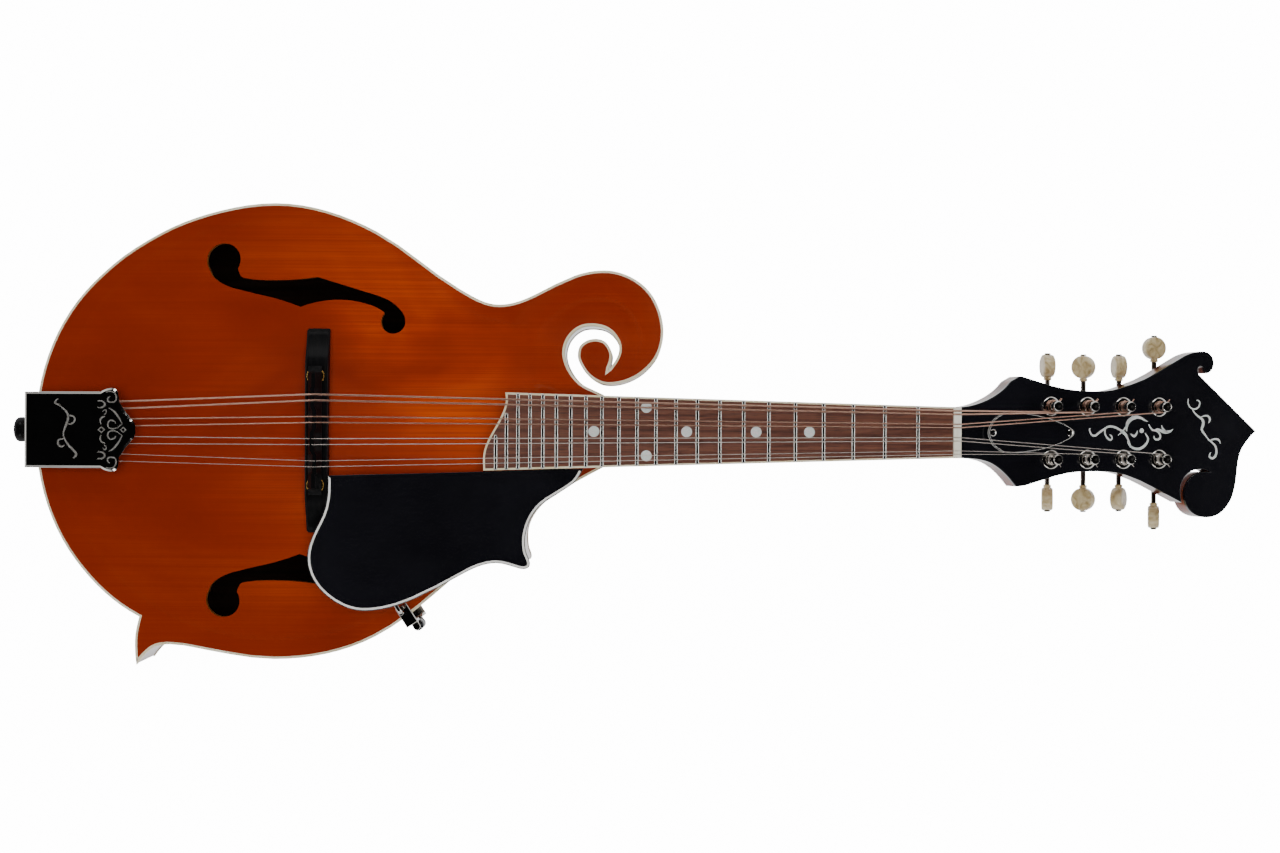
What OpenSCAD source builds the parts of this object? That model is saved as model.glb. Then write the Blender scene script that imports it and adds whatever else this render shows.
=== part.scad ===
// Carved-top mandolin with a scroll body, in millimetres.
// x runs from the tail to the head, y towards the bass strings, z out of the top.
// The long axis of the body is x, and z is 0 at the lowest point of the head.

/* [Body] */
// length of the body from tail edge to scroll
body_l = 349; // [335:1:365]
// width across the lower bout
body_w = 254; // [244:1:262]
// depth between the two plate edges
body_depth = 46; // [40:0.5:52]
// thickness of the carved plates
plate_t = 4.5; // [3:0.1:6]
// rise of the top arch over its edge
top_rise = 15; // [10:0.5:18]
// rise of the back arch over its edge
back_rise = 13; // [8:0.5:16]
// thickness of the bent ribs
rib_t = 2.3; // [1.8:0.1:3]
// width of the edge binding
bind_w = 1.5; // [1:0.1:2.5]

/* [Neck and fingerboard] */
// vibrating length of a string
scale_len = 352.4; // [345:0.2:360]
// angle of the neck to the plate edges
neck_ang = 4.5; // [3:0.1:6]
// angle of the head to the fingerboard
head_ang = 13; // [8:0.5:16]
// fingerboard width at the nut
nut_w = 28.6; // [27:0.1:32]
// fingerboard thickness
board_t = 5.6; // [4:0.1:7]
// number of frets
fret_n = 22; // [15:1:22]

/* [Strings and bridge] */
// string height over the plate edges at the bridge
string_z = 32.5; // [31:0.1:36]
// distance of the bridge from the tail edge
bridge_x = 159.5; // [150:0.5:170]
// half the diameter of the G, D, A and E strings
string_r = [0.51, 0.33, 0.19, 0.14];
// distance between courses at the bridge
course_bridge = 12; // [10:0.1:13]
// distance between courses at the nut
course_nut = 7.4; // [6.5:0.1:8]
// distance between courses at the tailpiece
course_tail = 9.4; // [8:0.1:10]

/* [Tuners] */
// distance between neighbouring posts
post_pitch = 23.2; // [22.5:0.1:24]
// distance of the first posts from the nut
post_first = 57; // [54:0.5:60]
// distance of the posts from the centreline
post_y = 15; // [14.6:0.1:15.6]
// radius of a post
post_r = 3; // [2.8:0.05:3.1]
// turn of each button about its shaft at rest
button_turn = [102, 56, 102, 6, 118, 50, -40, 120];

/* [Node] */
// node to draw, or all of them

/* [Hidden] */
$fn = 48;
eps = 0.02;

// ---- curves -------------------------------------------------------------
// A knot is [x, y, heading in, heading out]; without the last the curve runs smoothly.
function unit(a) = [cos(a), sin(a)];
function wrap(a) = a - 360 * round(a / 360);
function dir_out(k) = len(k) > 3 ? k[3] : k[2];
function bez(p, t) = pow(1 - t, 3) * p[0] + 3 * t * pow(1 - t, 2) * p[1]
  + 3 * t * t * (1 - t) * p[2] + pow(t, 3) * p[3];
// handle length that makes a cubic follow a circle when both ends suit one
function reach(chord, phi) = abs(phi) < 1 ? chord / 3
  : 2 / 3 * chord * tan(min(abs(phi), 300) / 4) / sin(min(abs(phi), 300) / 2);
function hop(a, b, step) =
  let (p = [a[0], a[1]], q = [b[0], b[1]], d = q - p, c = norm(d), h = atan2(d[1], d[0]))
  let (ta = wrap(dir_out(a) - h), tb = wrap(b[2] - h), r = reach(c, wrap(ta - tb)))
  let (n = max(1, ceil((abs(ta) + abs(tb)) / step)))
  let (g = [p, p + r * unit(dir_out(a)), q - r * unit(b[2]), q])
  [for (i = [0:n - 1]) bez(g, i / n)];
function loop(k, step) =
  [for (i = [0:len(k) - 1]) each hop(k[i], k[(i + 1) % len(k)], step)];
function way(k, step) = [for (i = [0:len(k) - 2]) each hop(k[i], k[i + 1], step),
  [k[len(k) - 1][0], k[len(k) - 1][1]]];
// the same knots on the other side of the centreline, run the other way
function flip(k) = [for (i = [len(k) - 1:-1:0])
  len(k[i]) > 3 ? [k[i][0], -k[i][1], 180 - k[i][3], 180 - k[i][2]]
  : [k[i][0], -k[i][1], 180 - k[i][2]]];
function grown(k, sx, sy) = [for (a = k) len(a) > 3 ? [a[0] * sx, a[1] * sy, a[2], a[3]]
  : [a[0] * sx, a[1] * sy, a[2]]];
// a stroke along knots, w0 wide at its start, wm in the middle and w1 at its end
function stroke(k, w0, wm, w1, step) =
  let (p = way(k, step), n = len(p) - 1)
  let (side = [for (i = [0:n])
    let (d = p[min(n, i + 1)] - p[max(0, i - 1)], u = d / norm(d), t = i / n)
    let (w = w0 * (1 - t) * (1 - t) + 2 * wm * t * (1 - t) * 1.3 + w1 * t * t)
    [-u[1], u[0]] * w / 2])
  [for (i = [0:n]) p[i] + side[i], for (i = [n:-1:0]) p[i] - side[i]];

// ---- derived sizes ------------------------------------------------------
sx = body_l / 349;
sy = body_w / 254;
nut_x = bridge_x + (scale_len - 0.8) * cos(neck_ang);
// height of the fingerboard surface at the nut, over the plate edges
nut_z = string_z - 4.6 - (scale_len - 0.8) * sin(neck_ang);
neck_end = 316 * sx;
board_end = 260.4;
head_z = -3.6;
tilt = neck_ang + head_ang;
tip_l = 191.3;
head_wood = 11;
lift = -(nut_z + (4.4 * -sin(neck_ang)) + head_z * cos(neck_ang) - tip_l * sin(tilt)
  - (head_wood + 2) * cos(tilt));
pin_out = 18.2;
tip_x = nut_x + 4.4 * cos(neck_ang) + head_z * sin(neck_ang) + tip_l * cos(tilt);
mid_x = (tip_x - pin_out) / 2;
bot_z = -body_depth;

module place() translate([-mid_x, 0, lift]) children();
// frame on the fingerboard surface, x = 0 at the nut and negative towards the body
module on_board() translate([nut_x, 0, nut_z]) rotate([0, neck_ang, 0]) children();
// frame on the head face, x = 0 behind the nut
module on_head() on_board() translate([4.4, 0, head_z]) rotate([0, head_ang, 0]) children();
function board_u(x) = (x - nut_x) / cos(neck_ang);
function board_half(u) = nut_w / 2 + 7.1 * -u / 254;
function board_to_body(p) = [nut_x + p[0] * cos(neck_ang) + p[2] * sin(neck_ang), p[1],
  nut_z - p[0] * sin(neck_ang) + p[2] * cos(neck_ang)];
function head_to_board(p) = [4.4 + p[0] * cos(head_ang) + p[2] * sin(head_ang), p[1],
  head_z - p[0] * sin(head_ang) + p[2] * cos(head_ang)];
function head_to_body(p) = board_to_body(head_to_board(p));

// ---- body outline -------------------------------------------------------
body_k = grown([[0, 0, -90], [22.8, -73, -53], [57.9, -103.9, -27, -104], [55.6, -117, -91],
  [56.5, -130.7, -80, 56], [64.4, -122, 38], [75, -119.3, 0], [97.2, -122.7, -10],
  [133, -127.3, 0], [189.4, -114.5, 27.5], [222.8, -90.2, 41], [256, -71, 2],
  [271, -73.6, -16], [273.6, -73.4, 60], [272.4, -66.5, 100], [272, -58, 85],
  [281.2, -41.4, 43], [290.4, -35, 33], [300, -28.6, 31], [316, -19.9, 28, 90],
  [316, 20.3, 90, 155], [306.1, 24.9, 152], [297.6, 33.2, 121], [294.2, 44, 88],
  [302.5, 57.2, 28], [308.9, 58.5, 0], [320.2, 54.6, -46], [324.3, 46, -90],
  [318.1, 33.8, -127, 66], [320.5, 42, 88], [318.1, 48.3, 124], [311.1, 51.5, 180],
  [303.2, 48.3, 226], [301.3, 42.5, 268], [304.6, 34.1, 302], [313.1, 27, 336],
  [318.9, 25.9, 359], [332.2, 29.1, 26], [343.6, 38.5, 52], [349, 56.5, 92],
  [345, 71.8, 116], [332.2, 85.2, 151], [316, 89.6, 180], [299.4, 86.6, 200],
  [278.9, 76.8, 207], [257.5, 70.4, 180], [236, 78.8, 150], [189.4, 110.8, 152],
  [133, 126.4, 180], [102.8, 122.2, 194], [69, 109.4, 209], [42.8, 92, 221],
  [22.8, 71.4, 233]], sx, sy);
body_p = loop(body_k, 11);
module body_2d() polygon(body_p);
module inset(d) offset(r = -d, $fn = 32) body_2d();
// the half of the plan that holds the scroll
module scroll_zone() translate([285 * sx, 20.9]) square([80, 80]);

// ---- arching ------------------------------------------------------------
arch_c = [150 * sx, 0];
arch_h = grown([[9, 0, -90], [36, -70, -52], [80, -105, -24], [133, -116, 0],
  [192, -102, 28], [226, -78, 38], [257, -61, 8], [290, -50, 38], [311, 0, 90]], sx, sy);
arch_e = concat(way(arch_h, 18), [for (i = [1:len(way(flip(arch_h), 18)) - 2])
  way(flip(arch_h), 18)[i]]);
arch_s = [0.15, 0.3, 0.43, 0.55, 0.66, 0.76, 0.85, 0.93, 1, 1.75];
function swell(s) = s >= 1 ? 0 : pow(1 - pow(s, 2.5), 1.5);
// solid between two arched surfaces, z = base + rise * swell
module arch(z0, h0, z1, h1) {
  n = len(arch_e);
  m = len(arch_s);
  low = [for (s = arch_s, e = arch_e)
    [arch_c[0] + s * (e[0] - arch_c[0]), s * e[1], z0 + h0 * swell(s)]];
  high = [for (s = arch_s, e = arch_e)
    [arch_c[0] + s * (e[0] - arch_c[0]), s * e[1], z1 + h1 * swell(s)]];
  pts = concat([[arch_c[0], 0, z0 + h0]], low, [[arch_c[0], 0, z1 + h1]], high);
  b = 1;
  c = n * m + 1;
  t = c + 1;
  fan = [for (i = [0:n - 1]) each [[0, b + i, b + (i + 1) % n], [c, t + (i + 1) % n, t + i]]];
  web = [for (j = [0:m - 2], i = [0:n - 1]) let (k = (i + 1) % n, a = j * n, d = (j + 1) * n)
    each [[b + a + i, b + d + i, b + d + k], [b + a + i, b + d + k, b + a + k],
      [t + a + i, t + d + k, t + d + i], [t + a + i, t + a + k, t + d + k]]];
  wall = [for (i = [0:n - 1]) let (k = (i + 1) % n, a = (m - 1) * n)
    each [[b + a + i, t + a + i, t + a + k], [b + a + i, t + a + k, b + a + k]]];
  polyhedron(pts, concat(fan, web, wall), convexity = 6);
}
// everything above the top plate
module over_top() arch(eps, top_rise, 70, 0);

// ---- plates -------------------------------------------------------------
f_hole_k = [[97, 88.2, -60], [110.8, 78.6, -18], [134.8, 72.8, -16], [148.8, 68.1, -22, 22],
  [170.4, 72.2, 0], [187, 69.4, -18], [194.4, 65.4, -40, -60], [199.5, 60.2, -45, 0],
  [206.1, 60.4, 90], [200.5, 69.6, 138], [183.6, 76.9, 163], [157.6, 84.9, 164, 190],
  [134.8, 83, 180], [116.8, 84.2, 168], [110.2, 87, 130, 120], [104, 94, 130, 200]];
module f_hole() {
  polygon(loop(grown(f_hole_k, sx, sy), 12));
  translate([105.1 * sx, 94.3 * sy]) circle(r = 9.4);
  translate([199.5 * sx, 60.2 * sy]) circle(r = 6.6);
}
module top_plate() place() color("sienna") resize([0, 0, 0]) difference() {
  intersection() {
    translate([0, 0, -20]) linear_extrude(60) inset(bind_w + eps);
    arch(-plate_t, top_rise, 0, top_rise);
  }
  translate([0, 0, -20]) linear_extrude(60) f_hole($fn = 32);
  translate([0, 0, -20]) linear_extrude(60) mirror([0, 1]) f_hole($fn = 32);
}
module back_plate() place() color("saddlebrown") resize([0, 0, 0]) intersection() {
  translate([0, 0, bot_z - 30]) linear_extrude(60) inset(bind_w + eps);
  arch(bot_z, -back_rise, bot_z + plate_t, -back_rise);
}
rib_top = -plate_t - eps;
rib_bot = bot_z + plate_t + eps;
pin_z = -23;
module rim() place() color("saddlebrown") difference() {
  translate([0, 0, rib_bot]) linear_extrude(rib_top - rib_bot) difference() {
    inset(0.3);
    inset(0.3 + rib_t);
  }
  translate([-5, 0, pin_z]) rotate([0, 90, 0]) cylinder(r = 3.95, h = 20);
  tail_holes();
}
// for the screws that hold the tailpiece
tail_screws = [[9.5, -7], [-9.5, -7], [0, -12]];
module tail_holes() for (p = tail_screws) translate([-5, p[0], p[1]]) rotate([0, 90, 0])
  cylinder(r = 1.4, h = 11.2);
lin_out = 0.3 + rib_t + 0.03;
module blocks_2d() {
  translate([0, -24]) square([23, 48]);
  translate([38, -140]) square([42, 36.5]);
  translate([258 * sx, -84]) square([26, 26]);
}
module neck_block_2d() translate([283 * sx, -30]) square([40, 50.4]);
module linings() place() color("burlywood") for (z = [rib_bot, rib_top - 11])
  translate([0, 0, z]) linear_extrude(11) difference() {
    inset(lin_out);
    inset(lin_out + 5);
    offset(delta = 0.05) blocks_2d();
    offset(delta = 0.05) neck_block_2d();
    offset(delta = 0.05) scroll_zone();
  }
module neck_block() place() color("peru") translate([0, 0, rib_bot])
  linear_extrude(rib_top - rib_bot) intersection() {
    inset(lin_out);
    neck_block_2d();
  }
module rim_blocks() place() color("burlywood") difference() {
  translate([0, 0, rib_bot]) linear_extrude(rib_top - rib_bot) intersection() {
    inset(lin_out);
    union() {
      blocks_2d();
      scroll_zone();
    }
  }
  translate([-5, 0, pin_z]) rotate([0, 90, 0]) cylinder(r = 3.95, h = 27);
  tail_holes();
}
module tone_bars() place() color("burlywood") resize([0, 0, 0]) for (s = [-1, 1])
  difference() {
    translate([95, s * 30 - 3, -14]) cube([150, 6, 30]);
    arch(-plate_t - eps, top_rise, 70, 0);
    translate([95, s * 30 - 4, -14]) rotate([0, -25, 0]) translate([-40, 0, -30])
      cube([40, 8, 30]);
  }
module body_binding() place() color("ivory") for (z = [-plate_t, bot_z])
  translate([0, 0, z]) linear_extrude(plate_t) difference() {
    body_2d();
    inset(bind_w);
  }
module end_pin() place() color("black") translate([0, 0, pin_z]) rotate([0, -90, 0])
  rotate_extrude() polygon(concat([[0, pin_out], [0, -20], [3.6, -20], [3.9, -1], [3.9, 1.95],
    [6.2, 1.95], [6.2, 3.4], [4.4, 5.4], [4.4, 9.4], [7.1, 12.7], [7.1, 16]],
    [for (a = [15:15:75]) [4.9 + 2.2 * cos(a), 16 + 2.2 * sin(a)]]));

// ---- tailpiece ----------------------------------------------------------
tp_z = 3;
tp_ang = 7;
module on_tail() translate([0, 0, tp_z]) rotate([0, -tp_ang, 0]) children();
function tail_to_body(p) = [p[0] * cos(tp_ang) - p[2] * sin(tp_ang), p[1],
  tp_z + p[0] * sin(tp_ang) + p[2] * cos(tp_ang)];
hook_x = 37;
hook_z = 3.4;
cover_h = [[-2.6, -20.9, -90, 0], [41, -20.9, 0, -35], [47, -23, -5], [51.2, -19.6, 82],
  [51.6, -15.2, 100, 55], [55.3, -9.8, 58, 40], [58.6, -5.8, 52, 35], [61, 0, 90]];
cover_p = loop(concat(cover_h, [for (i = [1:len(cover_h) - 1]) flip(cover_h)[i]]), 18);
module tailpiece_base() place() color("silver") {
  difference() {
    on_tail() difference() {
      translate([-2.2, -19, 0]) cube([50, 38, 1.2]);
      for (s = [-1, 1]) translate([24, s * 9, -1]) cylinder(r = 3.2, h = 4);
    }
    translate([-6, -30, -20]) cube([4.15, 60, 40]);
  }
  difference() {
    translate([-1.95, 0, 0]) rotate([90, 0, 90]) linear_extrude(1.7) difference() {
      polygon([[-18.6, 3.3], [-17, -12], [-8, -33], [8, -33], [17, -12], [18.6, 3.3]]);
      translate([0, pin_z]) circle(r = 4);
      for (s = [-1, 1]) translate([s * 9.5, -7]) circle(r = 1.6);
      translate([0, -12]) circle(r = 1.6);
    }
  }
  on_tail() for (i = [0:7]) translate([hook_x, tail_y(i), 1]) rotate_extrude($fn = 32)
    polygon([[0, 0], [0.9, 0], [0.9, 3.2], [1.6, 3.7], [1.4, 4.3], [0, 4.5]]);
}
module tailpiece_cover() place() color("silver") on_tail() {
  translate([0, 0, 5.9]) linear_extrude(0.9) polygon(cover_p);
  for (s = [-1, 1]) translate([-2.6, s * 20.5 - 0.45, 0.4]) cube([43.4, 0.9, 5.9]);
  translate([-2.6, -20.9, 0.4]) cube([0.5, 41.8, 5.9]);
}
module screw(r) {
  rotate_extrude() polygon([[0, -8], [0, 1.1], [r * 0.6, 0.95], [r, 0.35], [r, 0], [1.35, 0],
    [1.35, -6]]);
}
module wood_screws() place() color("silver") {
  translate([-1.98, 0, 0]) for (p = tail_screws)
    translate([0, p[0], p[1]]) rotate([0, -90, 0]) screw(2.5);
  on_head() {
    for (l = cover_screws) translate([l, 0, cover_t + eps]) screw(2);
    for (s = [-1, 1], l = plate_screws) translate([l, s * 9.6, -head_wood - 3 - eps])
      rotate([180, 0, 0]) screw(1.7);
  }
}

// ---- neck ---------------------------------------------------------------
// one ring across the neck: flat on top at z, w wide and d deep
function ring(x, z, w, d) = [for (a = [0:15:180])
  [x, w / 2 * cos(a), z - d * pow(sin(a), 0.85)]];
module loft(rings) {
  n = len(rings[0]);
  m = len(rings);
  pts = [for (r = rings) each r];
  polyhedron(pts, concat([[for (i = [0:n - 1]) i]], [[for (i = [n - 1:-1:0]) (m - 1) * n + i]],
    [for (j = [0:m - 2], i = [0:n - 1]) let (k = (i + 1) % n)
      each [[j * n + i, (j + 1) * n + i, (j + 1) * n + k], [j * n + i, (j + 1) * n + k, j * n + k]]]),
    convexity = 4);
}
heel_u = board_u(neck_end);
neck_stations = [[27, -11.3, 18, 10.2], [22, -9.9, 25.4, 10.9], [13, -7.8, 28, 12.7],
  [4.4, -board_t, nut_w, 14.6], [-10, -board_t, 0, 14.2], [-120, -board_t, 0, 15.6],
  [-150, -board_t, 0, 16.6], [-163, -board_t, 0, 18.6], [-172, -board_t, 0, 21.6],
  [-179, -board_t, 0, 26], [-185, -board_t, 0, 32], [-189, -board_t, 0, 38.5],
  [-192.5, -board_t, 0, 46.5], [heel_u, -board_t, 0, 55.2], [heel_u - 8, -board_t, 0, 57]];
head_k = [[0, -14.3, -1], [11.2, -14.8, -10], [19.5, -16.9, -24], [26.5, -21.2, -38],
  [31.3, -25.6, -45], [35.4, -30.3, -44, 5], [41, -29.8, 13], [60, -24.5, 15],
  [82.7, -21.9, 0], [105.7, -24.1, -17], [123.1, -31.1, -26], [141.9, -40.1, -22, 104],
  [141.1, -30.8, 80], [144.3, -24.6, 45], [153.6, -20.8, 4], [161.9, -23, -36, 158],
  [156.4, -22.5, 184], [150.6, -23.8, 208], [145.7, -28.2, 240], [143.5, -35, 272],
  [145.9, -42.9, -57], [158.8, -48.9, 0], [170.6, -44, 45], [175.9, -36, 70],
  [178.6, -23.1, 84], [180.9, -11.1, 68], [187.9, -1.6, 47], [191.3, 1.2, 40, 139.3],
  [152.8, 34.2, 139.3, 110], [152.3, 37.2, 80], [154.2, 38.9, 0], [156.2, 37.4, -80],
  [157.2, 35.1, -50], [159.2, 35, 20], [162.9, 41.1, 92], [156.2, 47.5, 178],
  [143.6, 44.7, 204], [124.6, 34.4, 209], [101.4, 25.6, 197], [82.7, 23.8, 180],
  [57.2, 26.8, 167], [40.6, 31.4, 167], [36.2, 31.3, 215], [31, 28, 232], [20.9, 20.1, 209],
  [9.9, 15.7, 196], [0, 14.3, 181, -90]];
head_p = loop(head_k, 20);
head_holes = [for (s = [-1, 1], i = [0:3]) [post_first + post_pitch * i, s * post_y]];
module head_slab(z, h) translate([0, 0, z]) linear_extrude(h) polygon(head_p);
rod_z = -board_t - 6.2;
module neck() place() color("saddlebrown") resize([0, 0, 0]) difference() {
  union() {
    difference() {
      on_board() loft([for (s = neck_stations)
        ring(s[0], s[1], s[2] > 0 ? s[2] : 2 * board_half(s[0]) - 0.1, s[3])]);
      translate([neck_end - 40 + eps, -60, -80]) cube([40, 120, 200]);
    }
    on_head() head_slab(-2 - head_wood, head_wood - eps);
    intersection() {
      translate([287 * sx, -19.4, -1]) cube([neck_end - 287 * sx + 1, 38.8, 30]);
      on_board() translate([-260, -30, -40]) cube([262, 60, 40 - board_t]);
      over_top();
    }
  }
  on_board() translate([-260, -30, -board_t - eps]) cube([264.4, 60, 30]);
  on_head() for (p = head_holes) translate([p[0], p[1], -20]) cylinder(r = 4.4, h = 30, $fn = 28);
  on_board() translate([-176, 0, rod_z]) rotate([0, 90, 0]) cylinder(r = 2.5, h = 187, $fn = 24);
  on_head() {
    translate([2.2, -4, -10.8]) cube([18.6, 8, 12]);
    translate([-0.5, -80, -2]) cube([300, 160, 20]);
    for (l = cover_screws) translate([l, 0, -8.5]) cylinder(r = 1.42, h = 10, $fn = 20);
    for (s = [-1, 1], l = plate_screws) translate([l, s * 9.6, -15])
      cylinder(r = 1.42, h = 9.2, $fn = 20);
  }
}
cover_screws = [20, 68.5];
module head_veneer() place() color("black") on_head() difference() {
  intersection() {
    head_slab(-2, 2);
    translate([0.55, -80, -5]) cube([300, 160, 10]);
  }
  for (p = head_holes) translate([p[0], p[1], -20]) cylinder(r = 4.4, h = 30);
  translate([-2, -4, -9]) cube([22.8, 8, 12]);
  for (l = cover_screws) translate([l, 0, -9]) cylinder(r = 1.4, h = 20);
  translate([0, 0, -0.5]) linear_extrude(1) head_inlay();
}
module truss_rod() place() color("dimgray") on_board() translate([-175, 0, rod_z])
  rotate([0, 90, 0]) cylinder(r = 2.4, h = 182);
rod_end = 7.2;
module truss_rod_nut() place() color("goldenrod") on_board()
  translate([rod_end, 0, rod_z]) rotate([0, 90, 0]) difference() {
    union() {
      cylinder(r = 3.1, h = 2.4);
      translate([0, 0, 0.4]) cylinder(r = 3.4, h = 5.4, $fn = 6);
    }
    translate([0, 0, 1.6]) cylinder(r = 1.6, h = 8, $fn = 6);
  }
cover_t = 1.6;
rod_cover_h = [[17.3, 0, -90], [19.6, -6, -62], [25.4, -10.5, -35], [33, -11.5, 0],
  [48.6, -10, 10], [60.2, -6.9, 20], [67.5, -3.9, 30], [71.3, 0, 90]];
module truss_rod_cover() place() color("black") on_head() translate([0, 0, eps])
  difference() {
    linear_extrude(cover_t) polygon(loop(concat(rod_cover_h,
      [for (i = [1:len(rod_cover_h) - 2]) flip(rod_cover_h)[i]]), 14));
    for (l = cover_screws) translate([l, 0, -1]) cylinder(r = 1.4, h = 5);
  }
module nut() place() color("ivory") on_board() difference() {
  translate([0.03, -nut_w / 2, -board_t]) cube([4.32, nut_w, board_t + 1.9]);
  for (i = [0:7]) translate([-2, nut_y(i), nut_lift]) rotate([0, 90 + 4, 0]) {
    cylinder(r = string_of(i) + 0.04, h = 10);
    translate([-5, -string_of(i) - 0.04, 0]) cube([5, 2 * string_of(i) + 0.08, 10]);
  }
}

// ---- fingerboard --------------------------------------------------------
board_k = [[0, -nut_w / 2, 1.6, 90], [0, nut_w / 2, 90, 178.4],
  [-248.4, board_half(-248.4), 178.4, -80], [-248.3, 14.6, -103], [-254.5, 1.1, -119],
  [-260.4, -14.6, -92], [-260.2, -board_half(-260.2), -88, 1.6]];
board_p = loop(board_k, 10);
module board_2d() polygon(board_p);
module board_core_2d() union() {
  offset(delta = -1.1) board_2d();
  translate([-2, -nut_w / 2 + 1.1]) square([2, nut_w - 2.2]);
}
function fret_u(n) = -scale_len * (1 - pow(2, -n / 12));
dots = [[5, 0], [7, 0], [10, 0], [12, -12.6], [12, 12.6], [15, 0]];
function dot_u(n) = (fret_u(n) + fret_u(n - 1)) / 2;
module fingerboard() place() color("rosybrown") on_board() difference() {
  translate([0, 0, -board_t]) linear_extrude(board_t) board_core_2d();
  for (d = dots) translate([dot_u(d[0]), d[1] * board_half(dot_u(12)) / 18.1, -0.7])
    cylinder(r = 3.03, h = 2);
}
module fingerboard_binding() place() color("ivory") on_board() difference() {
  translate([0, 0, -board_t]) linear_extrude(board_t) difference() {
    board_2d();
    offset(delta = 0.02) board_core_2d();
  }
}
fret_prof = [for (a = [0:20:180]) [1.05 * cos(a), eps + 1.0 * sin(a)]];
module frets() place() color("silver") on_board() for (n = [1:fret_n]) {
  u = fret_u(n);
  half = board_half(u) - 0.2;
  high = n < 21 ? half : n == 21 ? 10 : -2;
  translate([u, high, 0]) rotate([90, 0, 0]) linear_extrude(high + half) polygon(fret_prof);
}
vine = [
  [[[82.4, 2.4, 150], [82.4, -0.2, -60], [86, -1.2, 30], [93, 3.4, 20], [101, 2, -30]], 0.5, 1, 1.2],
  [[[92.4, 3.2, -130], [92.6, -2.2, -50], [96, -3.4, 60], [94.6, -0.9, 160]], 0.9, 1, 0.6],
  [[[101, 2, -30], [106, -2.6, -70], [108.8, -8.2, -60]], 1.2, 2.2, 0.4],
  [[[100, -1.4, 50], [103.4, 1.4, 60], [107.6, 7.6, 70], [109.6, 10, 40]], 0.4, 1, 0.4],
  [[[105.6, 1, 100], [107, 6.8, 50], [113, 9.2, 0], [119.4, 6.6, -10]], 0.6, 3.1, 0.4],
  [[[106.2, -4.6, -80], [110, -8.6, -20], [115.6, -8.4, 30], [119.6, -3.6, 80],
    [117.6, 0, 120]], 0.4, 2, 0.5],
  [[[108, -0.4, -20], [111, -1.6, 40], [112.6, 1.6, 90]], 0.3, 1.9, 0.3],
  [[[120, 5, -60], [123.4, 1.6, 0], [127.6, -1.6, -80], [124.6, -3.6, 160],
    [123.6, -1.6, 60]], 0.8, 1.3, 0.6],
  [[[124.4, 2.2, 20], [130.6, 0.6, 0], [136, 2.4, 50]], 0.5, 2.4, 0.3],
  [[[128.4, 4.6, -80], [130.2, 1.6, -40], [133.4, 0.4, 0]], 0.3, 1.6, 0.3]];
flourish = [
  [[[146, 20, -110], [150, 14, 0], [153.6, 17, 80], [151.4, 19, 200]], 0.5, 1.1, 0.5],
  [[[148.6, 13.8, -60], [154.6, 8.6, -30], [155.2, 3.4, -120], [158.4, -2.4, -60]], 0.6, 2.1, 0.8],
  [[[154.4, 9.4, 20], [159.6, 9.6, -40], [159.4, 6, -140]], 0.4, 1.6, 0.4],
  [[[158.4, -2.4, -60], [163.6, -6.8, -50], [164.4, -12.6, -110], [160.6, -14, 140],
    [161, -11.2, 50]], 0.8, 1.7, 0.5],
  [[[159.8, -4.6, 30], [165.2, -3.4, -10], [167.4, -6, -80]], 0.4, 1.5, 0.3]];
module head_inlay() {
  for (s = concat(vine, flourish)) polygon(stroke(s[0], s[1], s[2], s[3], 24));
  translate([115.4, 1.4]) circle(r = 1.4, $fn = 20);
}
module pearl_inlays() place() color("whitesmoke") {
  on_board() for (d = dots) translate([dot_u(d[0]), d[1] * board_half(dot_u(12)) / 18.1, -0.68])
    cylinder(r = 3, h = 0.68);
  on_head() translate([0, 0, -0.48]) linear_extrude(0.48) offset(delta = -0.02) head_inlay();
}

// ---- bridge -------------------------------------------------------------
wheel_y = 29.7;
base_top = 22;
wheel_z = 23.2;
wheel_t = 2.0;
saddle_bot = wheel_z + wheel_t + 0.05;
module bridge_base() place() color("#1c1512") resize([0, 0, 0]) difference() {
  intersection() {
    translate([bridge_x - 6.3, 0, 0]) rotate([90, 0, 90]) linear_extrude(12.6)
      polygon([[-56, 5], [56, 5], [56, 14.2], [52, 15.6], [39, base_top - 1.2],
        [35, base_top], [-35, base_top], [-39, base_top - 1.2], [-52, 15.6], [-56, 14.2]]);
    over_top();
  }
  for (s = [-1, 1]) translate([bridge_x, s * wheel_y, 12]) cylinder(r = 1.8, h = 20, $fn = 32);
  translate([bridge_x - 8, 0, 8.9]) rotate([0, 90, 0]) cylinder(r = 8, h = 16, $fn = 48);
  on_board() translate([0, 0, guard_top - guard_t - 0.4]) linear_extrude(9)
    offset(delta = 0.4) guard_2d();
}
module bridge_saddle() place() color("#1c1512") difference() {
  translate([bridge_x, 35, 0]) rotate([90, 0, 0]) linear_extrude(70)
    polygon([[-3.6, saddle_bot], [3.6, saddle_bot], [3.6, 27.2], [1.3, 31], [1.1, string_z],
      [-1.1, string_z], [-1.3, 31], [-3.6, 27.2]]);
  for (i = [0:7], a = [-101, 95.2]) translate([bridge_x, bridge_y(i), string_z])
    rotate([0, a, 0]) translate([0, 0, -0.4]) cylinder(r = string_of(i) + 0.09, h = 6, $fn = 24);
  for (s = [-1, 1]) {
    translate([bridge_x, s * wheel_y, 20]) cylinder(r = 2.1, h = 9.6);
    translate([bridge_x - 5, s * 38, 33]) rotate([0, 90, 0]) cylinder(r = 7, h = 10);
  }
}
module bridge_posts() place() color("goldenrod") for (s = [-1, 1])
  translate([bridge_x, s * wheel_y, 14.7]) cylinder(r = 1.75, h = 12.3);
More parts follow.
